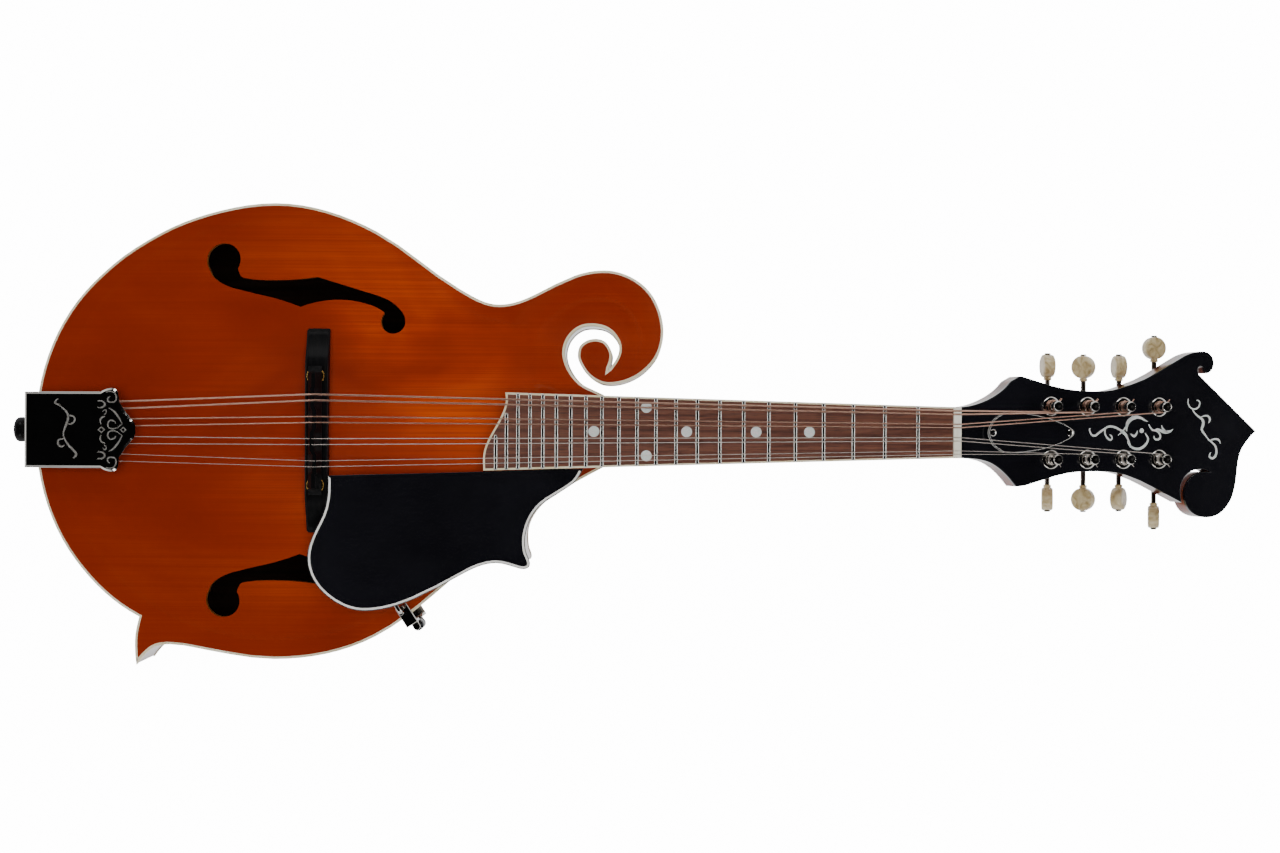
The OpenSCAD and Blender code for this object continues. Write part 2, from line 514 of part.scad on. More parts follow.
module thumbwheel() difference() {
  rotate_extrude() polygon([[1.82, 0], [4.4, 0], [4.8, 0.4], [4.8, 1.6], [4.4, wheel_t],
    [1.82, wheel_t]]);
  for (a = [0:15:345]) rotate([0, 0, a]) translate([4.95, 0, -1]) cylinder(r = 0.35, h = 4, $fn = 12);
}
module thumbwheel_bass() place() color("goldenrod")
  translate([bridge_x, wheel_y, wheel_z]) thumbwheel();
module thumbwheel_treble() place() color("goldenrod")
  translate([bridge_x, -wheel_y, wheel_z]) thumbwheel();

// ---- pickguard ----------------------------------------------------------
guard_k = [[166.3, -24.9, 178, -88], [165.1, -41.7, -104], [157.6, -59.1, -110],
  [155.5, -69.5, -90], [164.9, -89.1, -42], [186.5, -98.4, 0], [212.6, -92.2, 23],
  [238.7, -78.9, 29], [257.7, -72.5, 0], [270, -75.4, -15], [276.3, -73.6, 75],
  [274.3, -66.6, 106], [273.7, -58, 83], [282.6, -40.2, 42], [291.4, -34.3, 33],
  [300.2, -28.4, 42], [305.3, -20.8, 62, 178.4]];
guard_top = -4.6;
guard_t = 2.8;
guard_p = loop([for (k = guard_k) len(k) > 3
  ? [board_u(k[0]), -board_half(board_u(k[0])) - 0.5, k[2], k[3]]
  : [board_u(k[0]), k[1], k[2]]], 12);
module guard_2d() polygon(guard_p);
module guard_core_2d() union() {
  offset(delta = -1.6) guard_2d();
  intersection() {
    translate([2.6, -1.6]) offset(delta = -1.6) translate([0, 3.2]) guard_2d();
    guard_2d();
    translate([board_u(174), -27]) square([board_u(296) - board_u(174), 8]);
  }
}
module pickguard() place() color("black") on_board()
  translate([0, 0, guard_top - guard_t]) linear_extrude(guard_t) guard_core_2d();
module pickguard_binding() place() color("white") on_board()
  translate([0, 0, guard_top - guard_t]) linear_extrude(guard_t) difference() {
    guard_2d();
    offset(delta = 0.02) guard_core_2d();
  }
block_u = board_u(290);
module pickguard_block() place() color("black") resize([0, 0, 0]) intersection() {
  on_board() translate([block_u - 7, -27, -30])
    cube([14, 7.2, 30 + guard_top - guard_t - 0.03]);
  over_top();
}
// ---- pickguard clamp: two feet on the plate edges, pulled together by a barrel
clamp_at = [206.2 * sx, -101.6 * sy];
clamp_dir = -57;
module on_clamp() translate([clamp_at[0], clamp_at[1], 0]) rotate([0, 0, clamp_dir]) children();
module clamp_foot() {
  translate([-5, -3.5, 0.05]) cube([12.2, 7, 1.4]);
  translate([5.6, -3.5, -9.6]) cube([1.6, 7, 11.05]);
  translate([5.6, 0, -9.6]) rotate([0, 90, 0]) cylinder(r = 3.5, h = 1.6);
  translate([9.6, 0, -19]) cylinder(r = 1.4, h = 10);
  translate([6.4, -2, -12]) cube([3.2, 4, 3]);
  translate([9.6, 0, -12]) cylinder(r = 2, h = 3);
}
module pickguard_clamp() place() color("silver") on_clamp() {
  clamp_foot();
  translate([0, 0, bot_z]) mirror([0, 0, 1]) clamp_foot();
  translate([-26, -2.5, 14]) cube([8, 5, 1.2]);
  translate([-20, 0, 14.6]) rotate([0, 90, 0]) cylinder(r = 1.2, h = 19);
  translate([-1.6, 0, 0.8]) cylinder(r = 1.2, h = 13.8);
  translate([-1.6, 0, 14.6]) sphere(r = 1.6);
}
module clamp_barrel() place() color("#202020") on_clamp() translate([9.6, 0, bot_z / 2])
  difference() {
    rotate_extrude() polygon([[0, -9.5], [2.4, -9.5], [2.4, -8], [3, -7.6], [3, 7.6],
      [2.4, 8], [2.4, 9.5], [0, 9.5]]);
    for (s = [-1, 1]) translate([0, 0, s > 0 ? 3 : -12]) cylinder(r = 1.46, h = 9);
    rotate([0, 90, 0]) cylinder(r = 0.9, h = 10, center = true);
  }

// ---- strings ------------------------------------------------------------
function course(i) = floor(i / 2);
function string_of(i) = string_r[course(i)];
function across(i, gap, half) = (1.5 - course(i)) * gap + (i % 2 == 0 ? half : -half);
function tail_y(i) = across(i, course_tail, 2);
function bridge_y(i) = across(i, course_bridge, 1.6);
function nut_y(i) = across(i, course_nut, 0.95);
nut_lift = 1.5;
// post that each string winds on: 1 to 4 on the bass side, 5 to 8 on the treble side
string_post = [1, 2, 3, 4, 8, 7, 6, 5];
function post_l(k) = post_first + post_pitch * ((k - 1) % 4);
function post_side(k) = k < 5 ? 1 : -1;
waist_r = post_r - 0.3;
function string_on(k) = [for (i = [0:7]) if (string_post[i] == k) i][0];
// height of the last layer of string over the head face
function wind_z(k) = k == 1 ? 4 : k == 5 ? 3.7 : 4.7;
wraps = [2, 4, 5, 6];
// round wire along points, with mitred corners
module wire(p, r) {
  m = len(p) - 1;
  f = 10;
  pts = [for (i = [0:m])
    let (a = p[min(m, i + 1)] - p[i], b = p[i] - p[max(0, i - 1)])
    let (u = i == m ? b / norm(b) : a / norm(a), v = i == 0 ? u : b / norm(b))
    let (d = (u + v) / norm(u + v), g = cross(d, [0, 0, 1]), s = g / norm(g), t = cross(s, d))
    each [for (j = [0:f - 1]) p[i] + r * (cos(j * 360 / f) * s + sin(j * 360 / f) * t)]];
  polyhedron(pts, concat([[for (i = [f - 1:-1:0]) i]], [[for (i = [0:f - 1]) m * f + i]],
    [for (j = [0:m - 1], i = [0:f - 1]) let (k = (i + 1) % f)
      each [[j * f + i, j * f + k, j * f + f + k], [j * f + i, j * f + f + k, j * f + f + i]]]),
    convexity = 6);
}
module string(i) {
  r = string_of(i);
  k = string_post[i];
  bend = 0.98 + r;
  tail = [for (a = [45:30:315])
    tail_to_body([hook_x + bend * cos(a), tail_y(i) + bend * sin(a), hook_z])];
  top = [bridge_x, bridge_y(i), string_z];
  front = board_to_body([-0.2, nut_y(i), nut_lift]);
  back = board_to_body([4.4, nut_y(i), nut_lift - 0.35]);
  end = head_to_body([post_l(k), post_side(k) * (post_y - waist_r - r - 0.05), wind_z(k)]);
  wire(concat(tail, [top, front, back, end]), r);
}
module strings() place() color("lightgray") for (i = [0:7]) string(i);

// ---- tuners -------------------------------------------------------------
teeth = 16;
mod = 0.6;
gear_r = teeth * mod / 2;
worm_r = 2.5;
worm_l = gear_r + worm_r;
gear_t = 2.6;
gear_z = -head_wood - 2 - 1 - 3.4;
worm_pitch = PI * mod;
plate_z = -head_wood - 2 - 1 - eps;
plate_in = 7.4;
plate_out = 21.3;
lug = 5.2;
plate_l0 = post_first - 8;
plate_l1 = post_first + 3 * post_pitch + 15.5;
plate_screws = [plate_l0 + 3, post_first + 0.75 * post_pitch, post_first + 1.75 * post_pitch,
  post_first + 2.75 * post_pitch, plate_l1 - 3];
button_y = [38.4, 38, 38.4, 49.6, 38, 38.4, 38.2, 49];
module tuner_plates() place() color("silver") on_head()
  for (s = [-1, 1]) mirror([0, s < 0 ? 1 : 0, 0]) difference() {
    union() {
      translate([plate_l0, plate_in, plate_z]) cube([plate_l1 - plate_l0, plate_out - plate_in, 1]);
      for (i = [0:3], e = [-1, 1])
        translate([post_first + post_pitch * i + worm_l, post_y + e * lug, 0]) {
          translate([-2.4, -0.8, gear_z]) cube([4.8, 1.6, plate_z - gear_z + 0.5]);
          translate([0, 0.8, gear_z]) rotate([90, 0, 0]) cylinder(r = 2.4, h = 1.6);
        }
    }
    for (i = [0:3]) {
      translate([post_first + post_pitch * i, post_y, plate_z - 1]) cylinder(r = post_r + 0.04, h = 3);
      translate([post_first + post_pitch * i + worm_l, post_y + 8, gear_z]) rotate([90, 0, 0])
        cylinder(r = 1.54, h = 16);
    }
    for (l = plate_screws) translate([l, 9.6, plate_z - 1]) cylinder(r = 1.4, h = 3);
  }
module tuner_bushings() place() color("silver") on_head() for (p = head_holes)
  translate([p[0], p[1], 0]) rotate_extrude() polygon([[post_r + 0.05, -8], [4.36, -8],
    [4.36, eps], [5.5, eps], [5.5, 0.6], [4.9, 1.1], [3.9, 1.3], [post_r + 0.05, 1.3]]);
// frame of the worm of post k, x along the shaft away from the centreline
module on_worm(k) on_head() translate([post_l(k) + worm_l, post_side(k) * post_y, gear_z])
  mirror([0, post_side(k) < 0 ? 1 : 0, 0]) rotate([0, 0, 90]) children();
function thread_ring(a, x) = let (u = a % 360)
  [for (p = [[1.7, -0.5], [3.05, -0.2], [3.05, 0.2], [1.7, 0.5]])
    [x + p[1], -p[0] * sin(u), p[0] * cos(u)]];
turns = 4.25;
module thread() {
  n = 14;
  m = floor(turns * n);
  // the thread passes x = 0 on the side of the gear
  rings = [for (j = [0:m]) let (a = (j - m / 2) * 360 / n) 
    thread_ring(a - 90 + 3600, worm_pitch * a / 360)];
  pts = [for (r = rings) each r];
  polyhedron(pts, concat([[3, 2, 1, 0]], [[m * 4, m * 4 + 1, m * 4 + 2, m * 4 + 3]],
    [for (j = [0:m - 1], i = [0:3]) let (k = (i + 1) % 4)
      each [[j * 4 + i, j * 4 + 4 + k, j * 4 + 4 + i], [j * 4 + i, j * 4 + k, j * 4 + 4 + k]]]),
    convexity = 10);
}
module worm(k) place() color("dimgray") on_worm(k) {
  reach_x = button_y[k - 1] - post_y;
  resize([0, 0, 0]) {
    rotate([0, 90, 0]) translate([0, 0, -6.3]) cylinder(r = 1.5, h = reach_x + 3, $fn = 18);
    rotate([0, 90, 0]) translate([0, 0, -4.35]) cylinder(r = 1.8, h = 8.7, $fn = 18);
    thread();
  }
  rotate([0, 90, 0]) translate([0, 0, reach_x + 6.65]) cylinder(r1 = 1.9, r2 = 1.4, h = 0.8);
}
module button(k) place() color("ivory") on_worm(k) {
  reach_x = button_y[k - 1] - post_y;
  rotate([-button_turn[k - 1], 0, 0]) difference() {
    union() {
      translate([reach_x, 0, 0]) rotate_extrude() polygon([[0, -3.4], [5.8, -3.3], [6.6, -2.6],
        [6.6, 2.6], [5.8, 3.3], [0, 3.4]]);
      rotate([0, 90, 0]) translate([0, 0, reach_x - 8.2]) cylinder(r = 2.3, h = 4);
    }
    rotate([0, 90, 0]) translate([0, 0, reach_x - 10]) cylinder(r = 1.52, h = 7);
  }
}
module gear_2d() polygon([for (i = [0:teeth - 1], p = [[-8.3, gear_r - 0.8], [-5, gear_r - 0.72],
  [-2.5, gear_r + 0.5], [2.5, gear_r + 0.5], [5, gear_r - 0.72]])
  p[1] * unit((i + 0.5) * 360 / teeth + p[0])]);
module post(k) place() color("silver") on_head()
  translate([post_l(k), post_side(k) * post_y, 0]) {
    r = string_of(string_on(k));
    n = wraps[course(string_on(k))];
    difference() {
      rotate_extrude() polygon([[0, gear_z], [post_r, gear_z], [3.6, gear_z + gear_t / 2],
        [3.6, plate_z - 0.06], [post_r, plate_z - 0.06], [post_r, 1.7], [waist_r, 2],
        [waist_r, 6], [post_r, 6.4], [post_r, 8.9], [2.5, 9.5], [0, 9.6]]);
      translate([0, 0, 5.4]) rotate([90, 0, 0]) cylinder(r = 0.6, h = 10, center = true, $fn = 16);
    }
    translate([0, 0, gear_z - gear_t / 2]) linear_extrude(gear_t) gear_2d();
    translate([0, 0, gear_z - gear_t / 2 - 1.5]) cylinder(r1 = 2.2, r2 = 2.6, h = 1.6);
    // wound layers of string
    for (j = [1:n]) translate([0, 0, wind_z(k) - j * (2 * r + 0.03)]) rotate_extrude()
      translate([waist_r + r - 0.02, 0]) circle(r = r, $fn = 16);
  }
module tuner_button_1() button(1);
module tuner_button_2() button(2);
module tuner_button_3() button(3);
module tuner_button_4() button(4);
module tuner_button_5() button(5);
module tuner_button_6() button(6);
module tuner_button_7() button(7);
module tuner_button_8() button(8);
module tuner_worm_1() worm(1);
module tuner_worm_2() worm(2);
module tuner_worm_3() worm(3);
module tuner_worm_4() worm(4);
module tuner_worm_5() worm(5);
module tuner_worm_6() worm(6);
module tuner_worm_7() worm(7);
module tuner_worm_8() worm(8);
module tuner_post_1() post(1);
module tuner_post_2() post(2);
module tuner_post_3() post(3);
module tuner_post_4() post(4);
module tuner_post_5() post(5);
module tuner_post_6() post(6);
module tuner_post_7() post(7);
module tuner_post_8() post(8);

top_plate();
back_plate();
rim();
linings();
neck_block();
rim_blocks();
tone_bars();
body_binding();
end_pin();
tailpiece_base();
tailpiece_cover();
wood_screws();
neck();
head_veneer();
truss_rod();
truss_rod_nut();
truss_rod_cover();
nut();
fingerboard();
fingerboard_binding();
frets();
pearl_inlays();
bridge_base();
bridge_saddle();
bridge_posts();
thumbwheel_bass();
thumbwheel_treble();
pickguard();
pickguard_binding();
pickguard_block();
pickguard_clamp();
clamp_barrel();
strings();
tuner_plates();
tuner_bushings();
tuner_button_1();
tuner_button_2();
tuner_button_3();
tuner_button_4();
tuner_button_5();
tuner_button_6();
tuner_button_7();
tuner_button_8();
tuner_worm_1();
tuner_worm_2();
tuner_worm_3();
tuner_worm_4();
tuner_worm_5();
tuner_worm_6();
tuner_worm_7();
tuner_worm_8();
tuner_post_1();
tuner_post_2();
tuner_post_3();
tuner_post_4();
tuner_post_5();
tuner_post_6();
tuner_post_7();
tuner_post_8();
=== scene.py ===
import math
import bmesh
import bpy
import numpy as np
from mathutils import Matrix, Vector, geometry


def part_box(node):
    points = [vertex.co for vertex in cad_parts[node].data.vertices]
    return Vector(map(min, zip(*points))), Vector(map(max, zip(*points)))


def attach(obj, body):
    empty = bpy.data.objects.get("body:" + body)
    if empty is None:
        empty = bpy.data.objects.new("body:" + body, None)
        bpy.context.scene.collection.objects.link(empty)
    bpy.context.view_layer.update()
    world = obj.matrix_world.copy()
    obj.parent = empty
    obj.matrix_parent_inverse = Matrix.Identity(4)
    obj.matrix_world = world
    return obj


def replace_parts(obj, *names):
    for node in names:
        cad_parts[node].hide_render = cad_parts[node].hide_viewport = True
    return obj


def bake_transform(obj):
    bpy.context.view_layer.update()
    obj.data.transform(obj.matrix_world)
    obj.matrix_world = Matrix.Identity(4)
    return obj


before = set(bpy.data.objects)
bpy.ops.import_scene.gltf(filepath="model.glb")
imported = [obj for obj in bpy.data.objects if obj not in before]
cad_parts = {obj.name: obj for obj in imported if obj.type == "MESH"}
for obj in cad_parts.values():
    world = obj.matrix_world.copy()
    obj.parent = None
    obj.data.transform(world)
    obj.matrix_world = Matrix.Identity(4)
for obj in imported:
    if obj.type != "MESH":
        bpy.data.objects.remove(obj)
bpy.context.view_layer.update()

# ---------------------------------------------------------------- frames
# Shapes below are in millimetres, in the frames of the design: BODY has x = 0 at the tail
# edge and z = 0 at the top plate's edge, BOARD lies on the fingerboard with u = 0 at the nut,
# FACE lies on the head and TAILF on the tailpiece.
edge_lo, edge_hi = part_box("body_binding")
MX, LIFT = -edge_lo[0] * 1000, edge_hi[2] * 1000
NECK, HEAD = math.radians(4.5), math.radians(13)
TAIL = math.radians(7)
SCALE = 352.4
BRIDGE_X, STRING_Z = 159.5, 32.5
NUT_X = BRIDGE_X + (SCALE - 0.8) * math.cos(NECK)
NUT_Z = STRING_Z - 4.6 - (SCALE - 0.8) * math.sin(NECK)
NECK_END = 316.0
HALF_NUT = 14.3
DEPTH, PLATE_T = 46, 4.5
TOP_ARCH, BACK_ARCH = 15, 13
POST_L, POST_Y, PITCH = 57, 15, 23.2
MM = Matrix.Scale(0.001, 4)
BODY = Matrix.Translation((-MX / 1000, 0, LIFT / 1000)) @ MM
BOARD = BODY @ Matrix.Translation((NUT_X, 0, NUT_Z)) @ Matrix.Rotation(NECK, 4, "Y")
FACE = BOARD @ Matrix.Translation((4.4, 0, -3.6)) @ Matrix.Rotation(HEAD, 4, "Y")
TAILF = BODY @ Matrix.Translation((0, 0, 3)) @ Matrix.Rotation(-TAIL, 4, "Y")


def at(m, x, y, z):
    return m @ Vector((x, y, z))


# ---------------------------------------------------------------- camera and stage
cam = bpy.data.cameras.new("camera")
cam.lens, cam.sensor_width, cam.clip_end = 58.2, 36, 20
cam_ob = bpy.data.objects.new("camera", cam)
bpy.context.collection.objects.link(cam_ob)
cam_ob.location = (-0.0031, 0.0028, (LIFT + 1150) / 1000)
cam_ob.rotation_euler = (0, 0, math.radians(0.2))
bpy.context.scene.camera = cam_ob


# ---------------------------------------------------------------- curves
def unit(a):
    return np.array([math.cos(math.radians(a)), math.sin(math.radians(a))])


def wrap(a):
    return a - 360 * round(a / 360)


def hop(a, b, step):
    """Points of the round stretch from key a to key b: (x, y, heading in, heading out)."""
    p, q = np.array(a[:2], float), np.array(b[:2], float)
    d = q - p
    c, h = np.hypot(*d), math.degrees(math.atan2(d[1], d[0]))
    oa = a[3] if len(a) > 3 else a[2]
    ta, tb = wrap(oa - h), wrap(b[2] - h)
    phi = min(abs(wrap(ta - tb)), 300)
    r = c / 3 if phi < 1 else 2 / 3 * c * math.tan(math.radians(phi / 4)) / math.sin(math.radians(phi / 2))
    n = max(1, math.ceil((abs(ta) + abs(tb)) / step))
    t = (np.arange(n) / n)[:, None]
    g = [p, p + r * unit(oa), q - r * unit(b[2]), q]
    return (1 - t) ** 3 * g[0] + 3 * t * (1 - t) ** 2 * g[1] + 3 * t * t * (1 - t) * g[2] + t ** 3 * g[3]


def loop(k, step=4):
    return np.vstack([hop(k[i], k[(i + 1) % len(k)], step) for i in range(len(k))])


def way(k, step=4):
    return np.vstack([hop(k[i], k[i + 1], step) for i in range(len(k) - 1)] + [np.array(k[-1][:2], float)])


def flip(k):
    """The keys of the mirror image across y = 0."""
    return [([a[0], -a[1], 180 - a[3], 180 - a[2]] if len(a) > 3 else [a[0], -a[1], 180 - a[2]])
            for a in reversed(k)]


def inset(p, d):
    """The closed outline p, moved d to its left."""
    e = np.roll(p, -1, 0) - p
    e /= np.maximum(np.hypot(e[:, 0], e[:, 1]), 1e-9)[:, None]
    n = np.stack([-e[:, 1], e[:, 0]], 1)
    m = n + np.roll(n, 1, 0)
    m /= np.maximum(np.hypot(m[:, 0], m[:, 1]), 1e-9)[:, None]
    cos = np.maximum((m * n).sum(1), 0.5)
    return p + m * (d / cos)[:, None]


def stroke(k, w0, wm, w1, step=12):
    """Outline of a pen stroke along keys k, its width going from w0 past wm to w1."""
    p = way(k, step)
    d = np.gradient(p, axis=0)
    d /= np.hypot(d[:, 0], d[:, 1])[:, None]
    t = np.linspace(0, 1, len(p))
    w = w0 * (1 - t) ** 2 + 2.6 * wm * t * (1 - t) + w1 * t * t
    s = np.stack([-d[:, 1], d[:, 0]], 1) * (w / 2)[:, None]
    return np.vstack([p - s, (p + s)[::-1]])


def circle(cx, cy, r, n=40):
    a = np.linspace(0, 2 * math.pi, n, endpoint=False)
    return np.stack([cx + r * np.cos(a), cy + r * np.sin(a)], 1)


def inside(q, loops):
    """Whether each point of q is within the outlines, counting holes."""
    odd = np.zeros(len(q), bool)
    for p in loops:
        a, b = p, np.roll(p, -1, 0)
        for (x0, y0), (x1, y1) in zip(a, b):
            if y0 == y1:
                continue
            hit = (q[:, 1] > min(y0, y1)) & (q[:, 1] <= max(y0, y1))
            odd ^= hit & (q[:, 0] < x0 + (q[:, 1] - y0) * (x1 - x0) / (y1 - y0))
    return odd


def edge_distance(q, loops):
    best = np.full(len(q), 1e9)
    for p in loops:
        for a, b in zip(p, np.roll(p, -1, 0)):
            d = b - a
            t = np.clip(((q - a) @ d) / max(d @ d, 1e-12), 0, 1)
            best = np.minimum(best, np.hypot(*(q - a - t[:, None] * d).T))
    return best


# ---------------------------------------------------------------- mesh building
FLAT = 100  # added to the material number of a face that is shaded flat


def piece(name, verts, faces, mats, matrix=BODY, body="instrument", index=None, sharp=32):
    """A named object riding on a body, or on none if body is None."""
    me = bpy.data.meshes.new(name)
    me.from_pydata([matrix @ Vector(v) for v in verts], [], [list(f) for f in faces])
    for m in mats if isinstance(mats, (list, tuple)) else [mats]:
        me.materials.append(m.m)
    index = np.zeros(len(faces), int) if index is None else np.array(index)
    me.polygons.foreach_set("material_index", index % FLAT)
    bm = bmesh.new()
    bm.from_mesh(me)
    bmesh.ops.recalc_face_normals(bm, faces=bm.faces)
    limit = math.radians(sharp)
    for e in bm.edges:
        e.smooth = len(e.link_faces) == 2 and e.calc_face_angle(0) < limit
    for f in bm.faces:
        f.smooth = bool(index[f.index] < FLAT)
    bm.to_mesh(me)
    bm.free()
    ob = bpy.data.objects.new(name, me)
    bpy.context.collection.objects.link(ob)
    if body:
        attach(ob, body)
    return ob


class Mesh:
    """Gathers shapes in one frame before they become a piece."""

    def __init__(self):
        self.v, self.f, self.i = [], [], []

    def add(self, v, f, *more):
        """more: a material number for all, numbers for each face, or a placing matrix."""
        mat, move, each = 0, None, np.zeros(len(f), int)
        for x in more:
            if isinstance(x, Matrix):
                move = x
            elif isinstance(x, int):
                mat = x
            else:
                each = np.array(x)
        n = len(self.v)
        self.v += [tuple(move @ Vector(p)) if move is not None else tuple(p) for p in v]
        self.f += [tuple(n + k for k in face) for face in f]
        self.i += [int(x) + mat for x in each]
        return self

    def make(self, name, mats, matrix=BODY, body="instrument", sharp=32, slot=None):
        return piece(name, self.v, self.f, mats, matrix, body, self.i, sharp)


def strip(rows, closed_rows=False):
    """Quads between equal rings of points."""
    n, m = len(rows[0]), len(rows)
    v = [tuple(p) for r in rows for p in r]
    f = []
    for j in range(m if closed_rows else m - 1):
        a, b = j * n, (j + 1) % m * n
        f += [(a + i, a + (i + 1) % n, b + (i + 1) % n, b + i) for i in range(n)]
    return v, f


def caps(v, f, n):
    """Closes a stack of rings of n points at both ends."""
    return v, f + [tuple(range(n)), tuple(range(len(v) - n, len(v)))]


def around(p, rows):
    """A closed profile of (inset, z) swept round the outline p."""
    return strip([np.column_stack([inset(p, o), np.full(len(p), z)]) for o, z in rows], True)


def slab(loops, z0, z1, bevel=0.3, foot=0.0, top=None, bottom=None, grid=0.0, wall=0, steps=3,
         slope=None, more=None, ends=(0, 0)):
    """A plate between z0 and z1; outlines run with the material on their left."""
    arc = [(bevel * (1 - math.cos(a)), -bevel * (1 - math.sin(a)))
           for a in np.linspace(0, math.pi / 2, steps + 1)] if bevel else [(0, 0)]
    if slope:
        arc = [(0, -slope[1]), (slope[0] * 0.05, -slope[1] * 0.85), (slope[0], 0)]
    rows = ([(foot, 0, 0)] if foot else []) + [(0, foot, 0)] + [(o, h, 1) for o, h in arc]
    v, f, idx, caps_in = [], [], [], {0: [], 1: []}
    for p in loops:
        n, base = len(p), len(v)
        for o, h, up in rows:
            q = inset(p, o) if o else p
            lift = top if up else bottom
            z = (z1 if up else z0) + h + (lift(q) if lift else 0)
            v += [tuple(c) for c in np.column_stack([q, np.broadcast_to(z, (n,))])]
        for j in range(len(rows) - 1):
            a, b = base + j * n, base + (j + 1) * n
            f += [(a + i, a + (i + 1) % n, b + (i + 1) % n, b + i) for i in range(n)]
            idx += [wall] * n
        caps_in[0].append(list(range(base, base + n)))
        caps_in[1].append(list(range(base + (len(rows) - 1) * n, base + len(rows) * n)))
    extra = np.zeros((0, 2))
    if grid:
        allp = np.vstack(loops)
        lo, hi = allp.min(0), allp.max(0)
        gx, gy = np.meshgrid(np.arange(lo[0], hi[0], grid), np.arange(lo[1], hi[1], grid * 0.87))
        gx = gx + (np.arange(gx.shape[0]) % 2 * grid / 2)[:, None]
        extra = np.column_stack([gx.ravel(), gy.ravel()])
        extra = extra[inside(extra, loops)]
        extra = extra[edge_distance(extra, loops) > grid * 0.55 + bevel]
    if more is not None:
        extra = np.vstack([extra[~more[0](extra)], more[1]])
    for up, rings in caps_in.items():
        ids = [k for r in rings for k in r]
        pts = [Vector(v[k][:2]) for k in ids]
        edges, s = [], 0
        for r in rings:
            edges += [(s + i, s + (i + 1) % len(r)) for i in range(len(r))]
            s += len(r)
        use = extra if (top if up else bottom) is not None else extra[:0]
        lift, z = (top, z1) if up else (bottom, z0)
        pts += [Vector(q) for q in use]
        ov, _, of, orig, _, _ = geometry.delaunay_2d_cdt(pts, edges, [], 1, 1e-5)
        coords = np.array([tuple(c) for c in ov])
        of = np.array(of)
        of = of[inside(coords[of].mean(1), loops)]
        zs = z + (lift(coords) if lift else np.zeros(len(coords)))
        where = []
        for k, src in enumerate(orig):
            src = [q for q in src if q < len(ids)]
            if src:
                where.append(ids[src[0]])
            else:
                where.append(len(v))
                v.append((coords[k][0], coords[k][1], float(zs[k])))
        for face in of:
            f.append(tuple(where[k] for k in face))
            idx.append(ends[up] + (0 if lift else FLAT))
    return v, f, idx


def lathe(profile, n=40):
    """(r, z) points turned about z."""
    v, f = [], []
    around_z = np.linspace(0, 2 * math.pi, n, endpoint=False)
    for r, z in profile:
        v += [(max(r, 1e-4) * math.cos(t), max(r, 1e-4) * math.sin(t), z) for t in around_z]
    for j in range(len(profile) - 1):
        a, b = j * n, (j + 1) * n
        f += [(a + i, a + (i + 1) % n, b + (i + 1) % n, b + i) for i in range(n)]
    return caps(v, f, n)


def rounded(r, z0, z1, b, n=4):
    """Profile of a cylinder with rounded rims."""
    a = np.linspace(0, math.pi / 2, n)
    return ([(0, z0)] + [(r - b + b * math.sin(t), z0 + b - b * math.cos(t)) for t in a]
            + [(r - b + b * math.cos(t), z1 - b + b * math.sin(t)) for t in a] + [(0, z1)])


def tube(points, radius, n=12, tips=True):
    """Round wire along points; radius is one number or one for each point."""
    p = np.array(points, float)
    rad = np.broadcast_to(radius, (len(p),))
    d = np.gradient(p, axis=0)
    d /= np.linalg.norm(d, axis=1)[:, None]
    s = np.cross(d[0], (0, 0, 1) if abs(d[0][2]) < 0.9 else (1, 0, 0))
    rows = []
    for k in range(len(p)):
        s = s - d[k] * (s @ d[k])
        s /= np.linalg.norm(s)
        t = np.cross(s, d[k])
        a = np.linspace(0, 2 * math.pi, n, endpoint=False)[:, None]
        rows.append(p[k] + rad[k] * (np.cos(a) * s + np.sin(a) * t))
    v, f = strip(rows)
    return caps(v, f, n) if tips else (v, f)


def block(lo, hi, b=0.3):
    """A box with its upright and level edges cut back by b."""
    (x0, y0, z0), (x1, y1, z1) = lo, hi
    ring = lambda g: [(x0 + g, y0), (x1 - g, y0), (x1, y0 + g), (x1, y1 - g), (x1 - g, y1),
                      (x0 + g, y1), (x0, y1 - g), (x0, y0 + g)]
    p = np.array(ring(b), float)
    rows = [np.column_stack([inset(p, o), np.full(8, z)])
            for o, z in ((b, z0), (0, z0 + b), (0, z1 - b), (b, z1))]
    v, f = strip(rows)
    return caps(v, f, 8)


def shift(x, y, z):
    return Matrix.Translation((x, y, z))


def turn(axis, deg, x=0, y=0, z=0):
    return Matrix.Translation((x, y, z)) @ Matrix.Rotation(math.radians(deg), 4, axis)


def screw_head(r, slot_deg=0.0, dome=0.8):
    """Round slotted head on z = 0, pointing up."""
    prof = [(0, 0), (r, 0), (r, 0.3), (r * 0.9, dome * 0.62), (r * 0.6, dome * 0.9),
            (r * 0.2, dome), (0, dome)]
    m = Mesh().add(*lathe(prof, 28))
    # the slot is a dark bar laid on the head, not cut: its colour is painted shadow
    m.add(*block((-r * 0.86, -r * 0.13, dome * 0.35), (r * 0.86, r * 0.13, dome + 0.03), 0.04), 1,
          turn("Z", slot_deg))
    return m


# ---------------------------------------------------------------- materials
def lin(c):
    """An 8-bit screen colour as the linear colour that a socket takes."""
    return [((v / 255 + 0.055) / 1.055) ** 2.4 if v > 10 else v / 255 / 12.92 for v in c] + [1]


